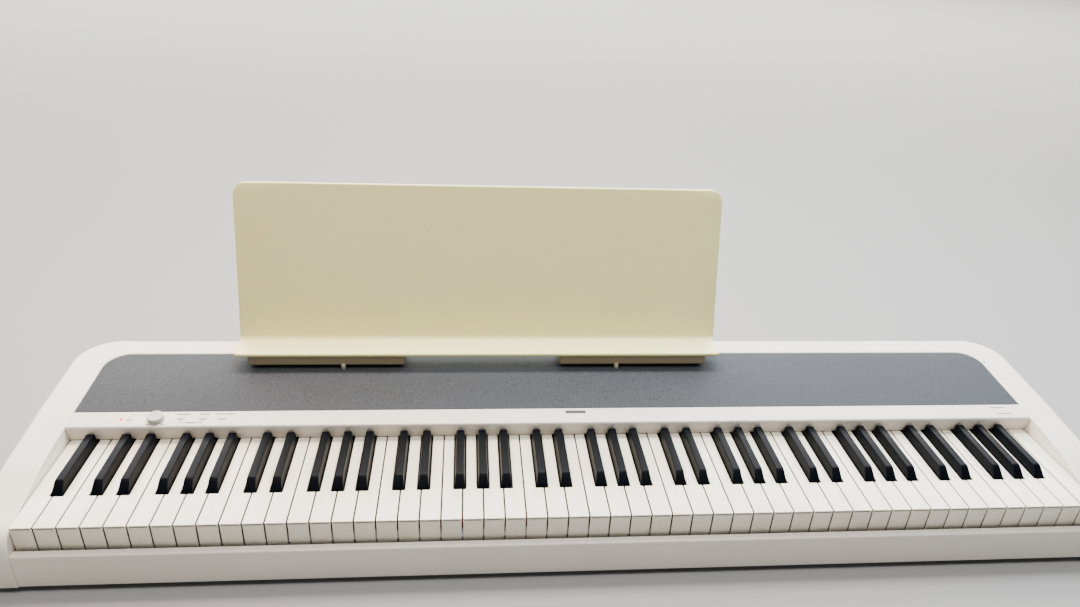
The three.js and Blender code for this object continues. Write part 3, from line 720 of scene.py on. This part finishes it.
def make_keys():
    """Registers as combs on a hidden bar, and the middle octave key by key."""
    naturals, sharps = lay_out_notes()
    kinds = (("naturals", naturals, add_natural, "key_white"),
             ("sharps", sharps, add_sharp, "key_black"))
    for kind, keys, add, slot in kinds:
        for register in ("bass", "treble"):
            shape = Shape()
            group = [key for key in keys if register_of(key) == register]
            for key in group:
                add(shape, key)
            if kind == "naturals":
                box_shape(shape, group[0]["tail_left"], group[-1]["tail_right"],
                          *NATURAL_BAR)
            else:
                box_shape(shape, group[0]["centre"] - SHARP_HALF,
                          group[-1]["centre"] + SHARP_HALF, *SHARP_BAR)
            shape.piece(f"{register}_{kind}_keys", f"{register}_{kind}", slot,
                        replaces=(f"keys_{register}_{kind}",), second=KEY_GAP_SHADE)
        for key in keys:
            if register_of(key) == "middle":
                shape = Shape()
                add(shape, key)
                shape.piece(f"{key['name']}_key", key["name"], slot,
                            replaces=(f"key_{key['name']}",), second=KEY_GAP_SHADE)


make_keys()


# ---- top case
PORT_Z = -50.0
PORTS = ((415.0, 5.5), (475.0, 4.5), (505.0, 6.5), (535.0, 6.5))  # x and radius
USB_PORT = (445.0, 6.5)  # x and half width
USB_HALF_HEIGHT = 6.0
SOCKET_ROOM = (398.0, 556.0, PANEL_REAR + 3.0, BODY_REAR - WALL, -75.0, -40.0)
TOP_EDGE = 1.3  # rounding of the case's edge beside the keys and the panel
LOW_EDGE = 0.8
CROWN = 0.35  # how far the top falls away towards its outer rounding
RAIL_SLOPE = 0.07
SHOULDER = 30.0  # from the corner's end to the first section of the straight rail
RAIL_SECTIONS = 12
CORNER_SECTIONS = 18


def side_profile():
    """The end blocks' top line as (y, z), from the bottom of the nose to the rear corner."""
    line = [(-12.0, CASE_BOTTOM), (-12.4, -62.0), (-12.8, -50.0), (BODY_FRONT, -38.0)]
    line += bezier((BODY_FRONT, -38.0), (BODY_FRONT, -17.0), (-4.0, -5.5), (14.0, -3.0), 16)
    line += bezier((14.0, -3.0), (38.0, 0.5), (60.0, 8.0), (81.0, 12.6), 10)
    line += bezier((81.0, 12.6), (100.0, 16.2), (122.0, 18.4),
                   (STRIP_FRONT, STRIP_EDGE_Z), 8)
    line += [(158.0, 22.75), (PANEL_FRONT, PANEL_FRONT_Z)]
    line += [(PANEL_FRONT + k * 19.0, case_top(PANEL_FRONT + k * 19.0)) for k in range(1, 6)]
    return line


def rail_height(_, y):
    """The rail rises with the panel, then runs almost level behind it."""
    return case_top(min(y, RAIL_Y)) + max(0.0, y - RAIL_Y) * RAIL_SLOPE


def case_loop(inner, outer, base, normal, reach, wall_y):
    """One closed section across an end block or the rear rail.

    inner and outer are (x, y) in plan, base gives the surface height at a point, reach is
    the size of the outer rounding, and wall_y is where the side walls meet the bottom.
    """
    run = Vector((outer[0] - inner[0], outer[1] - inner[1], 0.0))
    width = run.length
    run.normalize()

    def surface(distance, depth):
        x = inner[0] + run.x * distance
        y = inner[1] + run.y * distance
        return (x, y - depth * normal[0], base(x, y) - depth * normal[1])

    loop = [surface(inset, drop) for inset, drop in soft_edge(TOP_EDGE, 3)]
    for k in range(1, 6):
        t = TOP_EDGE + (width - TOP_EDGE - reach[0]) * k / 6
        loop.append(surface(t, CROWN * (2 * k / 6 - 1) ** 2 if k > 3 else 0.0))
    rounding = [(width - reach[0] * (1 - math.cos(a)), reach[1] * (1 - math.sin(a)))
                for a in (math.radians(90 - 90 * k / 8) for k in range(9))]
    loop += [surface(distance, drop) for distance, drop in rounding]
    at_x, at_y = outer if wall_y is None else (outer[0], wall_y)
    in_x, in_y = inner if wall_y is None else (inner[0], wall_y)
    loop.append((at_x, at_y, CASE_BOTTOM + LOW_EDGE))
    loop.append((at_x - run.x * LOW_EDGE, at_y - run.y * LOW_EDGE, CASE_BOTTOM))
    loop.append((at_x - run.x * WALL, at_y - run.y * WALL, CASE_BOTTOM))
    inside_z = CASE_BOTTOM + (2.9 if wall_y is None or wall_y > -8 else 0.05)
    loop.append((at_x - run.x * WALL, at_y - run.y * WALL, inside_z))
    loop.append((in_x, in_y, inside_z))
    return loop


def left_half_of_case():
    """Sections from the front of the left end block round the corner onto the rail."""
    loops = []
    line = side_profile()
    nose = [k for k, (y, _) in enumerate(line) if y <= 22.0][-1]
    for k, (y, z) in enumerate(line):
        before, after = line[max(k - 1, 0)], line[min(k + 1, len(line) - 1)]
        along = Vector((after[0] - before[0], after[1] - before[1])).normalized()
        normal = (-along.y, along.x)
        wall_y = -12.0 + (y + 12.0 if k > nose else (line[nose][0] + 12.0) * k / nose)
        loops.append(case_loop((-CHEEK, y), (-ARM, y), lambda _x, _y, z=z: z, normal,
                               (6.0, 6.0), wall_y))
    normal = (-PANEL_SLOPE, 1.0)
    inner_centre = (-CHEEK + PANEL_CORNER, PANEL_REAR - PANEL_CORNER)
    outer_centre = (-ARM + REAR_CORNER, BODY_REAR - REAR_CORNER)
    for k in range(1, CORNER_SECTIONS + 1):
        angle = math.radians(180 - 90 * k / CORNER_SECTIONS)
        inner = (inner_centre[0] + PANEL_CORNER * math.cos(angle),
                 inner_centre[1] + PANEL_CORNER * math.sin(angle))
        outer = (outer_centre[0] + REAR_CORNER * math.cos(angle),
                 outer_centre[1] + REAR_CORNER * math.sin(angle))
        share = k / CORNER_SECTIONS
        reach = (6.0 + 5.0 * share, 6.0 + 4.0 * share)
        loops.append(case_loop(inner, outer, rail_height, normal, reach, None))
    return loops


def make_top_case():
    left = left_half_of_case()
    normal = (-PANEL_SLOPE, 1.0)
    first = REAR_CORNER - ARM + SHOULDER
    span = KEYS_WIDTH - 2 * first
    middle = []
    for k in range(RAIL_SECTIONS + 1):
        x = first + span * k / RAIL_SECTIONS
        middle.append(case_loop((x, PANEL_REAR), (x, BODY_REAR), rail_height, normal,
                                (11.0, 10.0), None))
    right = [[(KEYS_WIDTH - x, y, z) for x, y, z in loop] for loop in reversed(left)]
    shell = Shape().loft(left + middle + right).piece(
        "top_case_shell", "case", "white_case", replaces=("top_case",), sharp=40.0)
    cut(shell, cutter_object(box_shape(Shape(), *SOCKET_ROOM)))
    x, half = USB_PORT
    outlines = [circle(port, PORT_Z, radius) for port, radius in PORTS]
    outlines.append(rounded_box(x - half, x + half, PORT_Z - USB_HALF_HEIGHT,
                                PORT_Z + USB_HALF_HEIGHT, (1.0,) * 4, 3))
    ports = Shape()
    for outline in outlines:
        ports.loft([[(px, y, pz) for px, pz in outline]
                    for y in (BODY_REAR - WALL - 1.0, BODY_REAR + 2.0)])
    cut(shell, cutter_object(ports))


make_top_case()


# ---- slip, strip and panel
BAR_CHAMFER = 0.5
BAR_LEFT = -CHEEK + SEAM
BAR_RIGHT = KEYS_WIDTH + CHEEK - SEAM


def bar_along_x(profile):
    """A closed (y, z) profile from cheek to cheek, both ends eased by a small chamfer."""
    cy = sum(p[0] for p in profile) / len(profile)
    cz = sum(p[1] for p in profile) / len(profile)
    eased = [(y + (cy - y) * 0.03, z + (cz - z) * 0.03) for y, z in profile]
    loops = [[(BAR_LEFT, y, z) for y, z in eased]]
    loops += [[(x, y, z) for y, z in profile]
              for x in (BAR_LEFT + BAR_CHAMFER, BAR_RIGHT - BAR_CHAMFER)]
    loops.append([(BAR_RIGHT, y, z) for y, z in eased])
    return Shape().loft(loops)


def make_key_slip():
    profile = [(-2.4, -31.5)]
    profile += arc((-3.0, -29.6), 0.6, 0, 90, 3)
    profile += arc((-8.6, -31.4), 2.4, 90, 180, 8)
    profile += [(-11.0, CASE_BOTTOM + LOW_EDGE), (-10.4, CASE_BOTTOM), (-8.5, CASE_BOTTOM),
                (-8.5, -31.5)]
    bar_along_x(profile).piece("front_slip", "case", "white_case", replaces=("key_slip",))


CONTROLS = {
    "power": (68.2, 13.3),
    "knob": (100.0, 12.1),
    "sound": (128.8, 14.0),
    "effect": (154.3, 14.0),
    "metronome": (177.0, 13.6),
    "lamp": (59.3, 13.3),
}
BUTTONS = ("sound", "effect", "metronome")
BUTTON_LONG, BUTTON_DEEP, BUTTON_RADIUS, BUTTON_CLEAR = 8.4, 4.6, 1.6, 0.3
ROUND_HOLES = {"lamp": 2.0, "power": 3.05, "knob": 3.5}


def button_plan(centre, grow):
    x, y = centre
    half_x, half_y = BUTTON_LONG / 2 + grow, BUTTON_DEEP / 2 + grow
    radius = max(BUTTON_RADIUS + grow, LEAST_RADIUS)
    return rounded_box(x - half_x, x + half_x, y - half_y, y + half_y, (radius,) * 4, 6)


def make_control_strip():
    top = PANEL_FRONT - SEAM
    profile = [(150.0, 1.2), (149.0, 18.6), (top, PANEL_FRONT_Z - 2.6),
               (top, PANEL_FRONT_Z - 0.35), (top - 0.3, PANEL_FRONT_Z - 0.1)]
    profile += [(148.2, STRIP_EDGE_Z + 0.42)]
    profile += bezier((148.2, STRIP_EDGE_Z + 0.42), (146.2, 21.2), (145.1, 20.6),
                      (144.9, 18.2), 8)
    profile += [(147.3, 1.6), (147.6, 1.2)]
    strip = bar_along_x(profile).piece("control_strip_cover", "case", "white_case",
                                       replaces=("control_strip",))
    outlines = [circle(*CONTROLS[name], radius) for name, radius in ROUND_HOLES.items()]
    outlines += [button_plan(CONTROLS[name], BUTTON_CLEAR) for name in BUTTONS]
    holes = Shape()
    for outline in outlines:
        holes.loft([[(x, y, z) for x, y in outline] for z in (-10.0, 10.0)])
    cut(strip, cutter_object(holes, on_strip))


SHADOW_GAP = 0.55
PIN_HOLE = 3.2


def lie_on_case(point):
    x, y, z = point
    return (x, y, z + case_top(y) - PANEL_SUNK)


def make_speaker_panel():
    y0, y1 = PANEL_FRONT + SHADOW_GAP, PANEL_REAR - SHADOW_GAP
    x0, x1 = -CHEEK + SHADOW_GAP, KEYS_WIDTH + CHEEK - SHADOW_GAP
    corner = PANEL_CORNER - SHADOW_GAP

    def outline(inset):
        return rounded_box(x0 + inset, x1 - inset, y0 + inset, y1 - inset,
                           (0.8, 0.8, corner - inset, corner - inset), 12)
    shape = slab(Shape(), outline, -2.5, 0.0, 0.5, 3)
    panel = shape.piece("speaker_cloth_panel", "case", "grey_panel", move=lie_on_case,
                        replaces=("speaker_panel",))
    holes = Shape()
    for _, _, x in REST_FEET.values():
        turned(holes, [(PIN_HOLE, 20.0), (PIN_HOLE, 40.0)], (x, PIN_Y, 0.0), 32)
    cut(panel, cutter_object(holes))


make_key_slip()
make_control_strip()
make_speaker_panel()


# ---- controls
def make_controls():
    for name in BUTTONS:
        centre = CONTROLS[name]
        shape = slab(Shape(), lambda inset: button_plan(centre, -inset), -5.5, 1.0, 0.7, 5)
        slab(shape, lambda inset: button_plan(centre, 1.2 - inset), -7.0, -5.52, 0.2, 1)
        turned(shape, [(1.2, -10.8), (1.2, -7.02)], (*centre, 0.0), 16)
        shape.piece(f"{name}_button_cap", f"{name}_button", "button_white", move=on_strip,
                    replaces=(f"{name}_button",))
    round_cap = [(0, -10.8), (1.2, -10.8), (1.2, -7.0), (3.9, -7.0), (3.9, -5.5), (2.7, -5.4)]
    round_cap += [(2.7 - inset, 1.0 - drop) for inset, drop in soft_edge(0.7, 5)]
    round_cap += [(0, 1.05)]
    turned(Shape(), round_cap, (*CONTROLS["power"], 0.0), 40).piece(
        "power_button_cap", "power_button", "button_white", move=on_strip,
        replaces=("power_button",))
    lens = [(0, -7.0), (1.7, -7.0), (1.7, 0.1)]
    lens += [(1.7 * math.cos(a), 0.1 + 1.2 * math.sin(a))
             for a in (math.radians(15 * k) for k in range(1, 6))] + [(0, 1.3)]
    turned(Shape(), lens, (*CONTROLS["lamp"], 0.0), 32).piece(
        "power_lamp_lens", "case", "red_lens", move=on_strip, replaces=("power_lamp",))


def make_knob():
    """A low cylinder with a softly rounded rim, a shallow dished top and an index mark."""
    profile = [(0, -11.5), (3.0, -11.5), (3.0, 0.6), (8.9, 0.6), (9.3, 0.9), (9.5, 1.5)]
    profile += [(9.35 - inset, 7.0 - drop) for inset, drop in soft_edge(1.5, 6)]
    profile += [(6.8, 6.9), (6.0, 6.75), (3.0, 6.7), (0, 6.7)]
    x, y = CONTROLS["knob"]
    knob = turned(Shape(), profile, (x, y, 0.0), 64).piece(
        "volume_knob_cap", "volume_knob", "knob_grey", move=on_strip,
        replaces=("volume_knob",))
    mark = Shape()
    slab(mark, lambda inset: rounded_box(x - 0.5, x + 0.5, y + 5.2, y + 7.2, (0.4,) * 4, 3),
         6.2, 9.0, 0.05, 1)
    cut(knob, cutter_object(mark, on_strip))


INK_THICK = 0.06


def flat_mark(shape, x0, x1, y0, y1):
    corner = min(0.25, (y1 - y0) / 2.2)
    slab(shape, lambda _: rounded_box(x0, x1, y0, y1, (corner,) * 4, 3), 0.0, INK_THICK,
         0.02, 1)


# x0, x1, y0 and y1 of each printed dash: beside the knob, over the buttons, the bracket
# under them, the middle of the strip and its right end
DASHES = (
    (89.8, 94.2, 3.4, 4.7), (106.8, 111.2, 3.4, 4.7),
    (121.5, 137.0, 20.4, 21.9), (148.0, 160.5, 20.4, 21.9), (167.5, 190.0, 20.4, 21.9),
    (129.0, 134.6, 6.0, 6.9), (148.4, 154.0, 6.0, 6.9),
    (128.4, 129.4, 6.0, 9.4), (153.6, 154.6, 6.0, 9.4), (135.4, 147.4, 5.4, 7.1),
    (600.0, 626.0, 16.6, 21.8),
    (1177.0, 1196.0, 19.6, 21.0), (1181.5, 1200.0, 8.2, 9.6),
)
POWER_SIGN = (70.7, 21.2)


def make_marks():
    """Plain printed signs: unlettered dashes, a bracket and a ring with a stroke."""
    shape = Shape()
    for dash in DASHES:
        flat_mark(shape, *dash)
    ring = [arc(POWER_SIGN, radius, 120, 420, 20) for radius in (1.0, 1.5)]
    outline = ring[1] + list(reversed(ring[0]))
    shape.loft([[(x, y, z) for x, y in outline] for z in (0.0, INK_THICK)])
    flat_mark(shape, 70.4, 71.0, 21.2, 23.0)
    shape.piece("control_marks", "case", "white_case", material=INK, move=on_strip)


make_controls()
make_knob()
make_marks()


# ---- music rest
FOLD_RADIUS = 9.0
TOP_CORNER = 18.0
LEDGE_CORNER = 3.5
BULL_NOSE = 2.0  # length over which the sheet's front and top edges round off
SHEET_EDGE = 1.4


def rest_path():
    """The sheet's upper face as (y, z), its normal and the distance run, from the ledge's
    front edge through a rounded fold to the top of the back."""
    rise = math.atan2(REST_FOLD[1] - LEDGE_FRONT[1], REST_FOLD[0] - LEDGE_FRONT[0])
    fold = FOLD_RADIUS
    steps = 10
    lean = math.pi / 2 - REST_LEAN
    turn = lean - rise
    cut_back = fold * math.tan(turn / 2)
    ledge = math.dist(REST_FOLD, LEDGE_FRONT) - cut_back
    back = REST_HEIGHT - cut_back
    points = []
    for k in range(7):
        d = ledge * k / 6
        points.append((LEDGE_FRONT[0] + d * math.cos(rise),
                       LEDGE_FRONT[1] + d * math.sin(rise), rise, d))
    run = ledge
    y, z = points[-1][:2]
    centre = (y - fold * math.sin(rise), z + fold * math.cos(rise))
    for k in range(1, steps + 1):
        angle = rise + turn * k / steps
        points.append((centre[0] + fold * math.sin(angle), centre[1] - fold * math.cos(angle),
                       angle, run + fold * turn * k / steps))
    run += fold * turn
    y, z = points[-1][:2]
    for k in range(1, 25):
        d = back * k / 24
        points.append((y + d * math.cos(lean), z + d * math.sin(lean), lean, run + d))
    return points, run + back


def rest_section(y, z, angle, thick, x0, x1):
    """A closed section across the whole width: a flat bar with rounded ends."""
    normal = (-math.sin(angle), math.cos(angle))
    half = thick / 2
    mid = (y - normal[0] * half, z - normal[1] * half)
    edge = min(SHEET_EDGE, half)
    outline = arc((x1 - edge, half - edge), edge, 0, 90, 4)
    outline += [(x1 + (x0 - x1) * k / 10, half) for k in range(1, 10)]
    outline += arc((x0 + edge, half - edge), edge, 90, 180, 4)
    outline += arc((x0 + edge, edge - half), edge, 180, 270, 4)
    outline += [(x0 + (x1 - x0) * k / 10, -half) for k in range(1, 10)]
    outline += arc((x1 - edge, edge - half), edge, 270, 360, 4)
    return [(x, mid[0] + normal[0] * h, mid[1] + normal[1] * h) for x, h in outline]


def rest_stations(points, total):
    """Distances along the sheet where it gets a section, closer together at its ends."""
    front = [LEDGE_CORNER * (1 - math.cos(math.radians(90 * k / 6))) for k in range(1, 6)]
    front = [0.0, 0.25, 0.7] + [s for s in front if s > 0.8]
    back = [total - TOP_CORNER * (1 - math.sin(math.radians(90 * k / 14))) for k in range(15)]
    back = [s for s in back if s < total - 0.8] + [total - 0.7, total - 0.25, total]
    middle = [p[3] for p in points if LEDGE_CORNER < p[3] < total - TOP_CORNER - 1]
    return front + [LEDGE_CORNER] + middle + back


def make_music_rest():
    points, total = rest_path()
    loops = []
    for s in rest_stations(points, total):
        k = max(i for i, p in enumerate(points) if p[3] <= s + 1e-6)
        a, b = points[k], points[min(k + 1, len(points) - 1)]
        t = 0.0 if a is b else (s - a[3]) / (b[3] - a[3])
        y, z, angle = (a[i] + (b[i] - a[i]) * t for i in range(3))
        full = LEDGE_THICK + (REST_THICK - LEDGE_THICK) * min(1.0, max(0.0, (s - 25) / 30))
        bull = min(1.0, min(s, total - s) / BULL_NOSE)
        thick = max(full * math.sqrt(1 - (1 - bull) ** 2), 0.3)
        inset = 0.0
        if s < LEDGE_CORNER:
            inset = LEDGE_CORNER - math.sqrt(LEDGE_CORNER ** 2 - (LEDGE_CORNER - s) ** 2)
        if s > total - TOP_CORNER:
            gone = s - (total - TOP_CORNER)
            inset = TOP_CORNER - math.sqrt(max(TOP_CORNER ** 2 - gone ** 2, 0.0))
        normal = (-math.sin(angle), math.cos(angle))
        drop = (full - thick) / 2
        loops.append(rest_section(y - normal[0] * drop, z - normal[1] * drop, angle, thick,
                                  REST_LEFT + inset, REST_RIGHT - inset))
    Shape().loft(loops).piece("music_rest_sheet", "rest", "cream_plastic",
                              replaces=("music_rest",), sharp=50.0)


BRACKET_FRONT, BRACKET_REAR = 255.2, 285.0
BRACKET_LOW = 37.5
BRACKET_END = 4.0  # rounding of a bracket's ends
PIN_PROFILE = [(0, 24.0), (1.9, 24.0), (2.5, 24.8), (2.5, 32.6), (3.0, 33.0), (3.2, 34.0),
               (3.2, 37.0), (2.9, 38.4), (2.5, 39.0), (2.5, 40.0), (0, 40.0)]


def make_rest_feet():
    slope = (REST_FOLD[1] - LEDGE_FRONT[1]) / (REST_FOLD[0] - LEDGE_FRONT[0])

    def under(y):
        return LEDGE_FRONT[1] + (y - LEDGE_FRONT[0]) * slope - LEDGE_THICK - SEAM
    heel = case_top(BRACKET_REAR) - PANEL_SUNK + SEAM
    corners = [(BRACKET_FRONT, BRACKET_LOW), (BRACKET_REAR, heel),
               (BRACKET_REAR, under(BRACKET_REAR)), (BRACKET_FRONT, under(BRACKET_FRONT))]
    middle = (sum(c[0] for c in corners) / 4, sum(c[1] for c in corners) / 4)
    base = rounded_polygon(corners, (2.2, 1.2, 0.6, 0.8), 5)
    for side, (x0, x1, pin) in REST_FEET.items():
        loops = []
        for k in range(7):
            angle = math.radians(90 * k / 6)
            shrink = 0.84 + 0.16 * math.sin(angle)
            x = x0 + BRACKET_END * (1 - math.cos(angle))
            loops.append([(x, middle[0] + (y - middle[0]) * shrink,
                           middle[1] + (z - middle[1]) * shrink) for y, z in base])
        mirrored = [[(x0 + x1 - x, y, z) for x, y, z in loop] for loop in reversed(loops)]
        # the bracket's material is the cream plastic darkened as painted shade
        Shape().loft(loops + mirrored).piece(
            f"rest_bracket_{side}", "rest", "cream_plastic", material=REST_BRACKET_SHADE,
            replaces=(f"rest_foot_{side}",), sharp=50.0)
        turned(Shape(), PIN_PROFILE, (pin, PIN_Y, 0.0), 28).piece(
            f"rest_pin_{side}", "rest", "cream_plastic", material=PIN_PLASTIC)


def rounded_polygon(corners, radii, steps):
    """A plane polygon with each corner replaced by a quadratic rounding."""
    made = []
    count = len(corners)
    for k, (corner, radius) in enumerate(zip(corners, radii)):
        here = Vector(corner)
        before = (Vector(corners[k - 1]) - here).normalized() * radius
        after = (Vector(corners[(k + 1) % count]) - here).normalized() * radius
        for step in range(steps + 1):
            t = step / steps
            point = here + before * (1 - t) ** 2 + after * t ** 2
            made.append((point.x, point.y))
    return made


make_music_rest()
make_rest_feet()


# ---- underside and rear
FOOT_PROFILE = [(0, 0.0), (9.5, 0.0), (10.8, 0.3), (11.6, 1.2), (12.2, 4.0), (12.9, 7.7),
                (0, 7.7)]
SCREW_PROFILE = [(0, -0.7), (0.9, -0.7), (1.2, -1.4), (2.6, -1.2), (3.4, -0.4), (3.4, 0.0),
                 (0, 0.0)]
SCREW_COLUMNS = (12.0, 210.0, 410.0, 611.0, 812.0, 1012.0, 1210.0)
SCREW_ROWS = (12.0, 120.0, 306.0)


def make_feet():
    for place_name in ("front_left", "front_right", "rear_left", "rear_right"):
        node = f"foot_{place_name}"
        low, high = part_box(node)
        centre = (low + high) / 2
        local = (centre - ORIGIN) / MM
        turned(Shape(), FOOT_PROFILE, (local.x, local.y, FLOOR_Z), 48).piece(
            f"rubber_{node}", "case", "rubber", replaces=(node,))


def make_screws():
    """Pan-head screws with a round recess, under the bottom case, all one piece."""
    shape = Shape()
    for x in SCREW_COLUMNS:
        for y in SCREW_ROWS:
            turned(shape, SCREW_PROFILE, (x, y, CASE_BOTTOM), 24)
    shape.piece("case_screws", "case", "steel", material=SCREW)


make_feet()
make_screws()


# ---- stage
# Stage and lights are in metres, in the frame of the CAD.
FLOOR_HALF = 8.0


def make_stage():
    far = FLOOR_HALF
    mesh = bpy.data.meshes.new("floor")
    mesh.from_pydata([(-far, -far, 0), (far, -far, 0), (far, far, 0), (-far, far, 0)],
                     [], [(0, 1, 2, 3)])
    n = Nodes("pale_floor", 0.8)
    n.tint(n.noise(2.0), (148, 147, 146), (145, 144, 143))
    mesh.materials.append(n.material)
    floor = bpy.data.objects.new("floor", mesh)
    bpy.context.scene.collection.objects.link(floor)


def area_light(name, place_at, target, size, power, colour):
    data = bpy.data.lights.new(name, "AREA")
    data.shape = "RECTANGLE"
    data.size, data.size_y = size
    data.energy = power
    data.color = colour
    light = bpy.data.objects.new(name, data)
    light.location = place_at
    aim = Vector(target) - Vector(place_at)
    light.rotation_mode = "QUATERNION"
    light.rotation_quaternion = aim.to_track_quat("-Z", "Y")
    bpy.context.scene.collection.objects.link(light)


# name, place, target, size, watts and colour
LAMPS = (
    ("rear_overhead", (0.0, 0.55, 1.7), (0.0, 0.0, 0.08), (1.1, 0.4), 54.0, (1.0, 0.95, 0.88)),
    ("front_fill", (0.0, -0.5, 2.3), (0.0, 0.0, 0.1), (2.4, 0.8), 50.0, (1.0, 0.97, 0.93)),
    ("left_warm", (-0.75, 0.4, 1.5), (-0.6, 0.05, 0.1), (0.5, 0.4), 17.0, (1.0, 0.5, 0.22)),
    ("right_cool", (0.75, 0.4, 1.5), (0.6, 0.05, 0.1), (0.5, 0.4), 17.0, (0.28, 0.64, 1.0)),
    ("far_floor", (0.0, 5.2, 3.6), (0.0, 5.2, 0.0), (12.0, 6.0), 2400.0, (1.0, 0.99, 0.97)),
)
SKY_COLOUR = (0.95, 0.97, 1.0, 1.0)
SKY_STRENGTH = 0.27


def make_light():
    world = bpy.data.worlds.new("studio")
    world.use_nodes = True
    back = world.node_tree.nodes["Background"]
    back.inputs["Color"].default_value = SKY_COLOUR
    back.inputs["Strength"].default_value = SKY_STRENGTH
    bpy.context.scene.world = world
    for lamp in LAMPS:
        area_light(*lamp)


make_stage()
make_light()
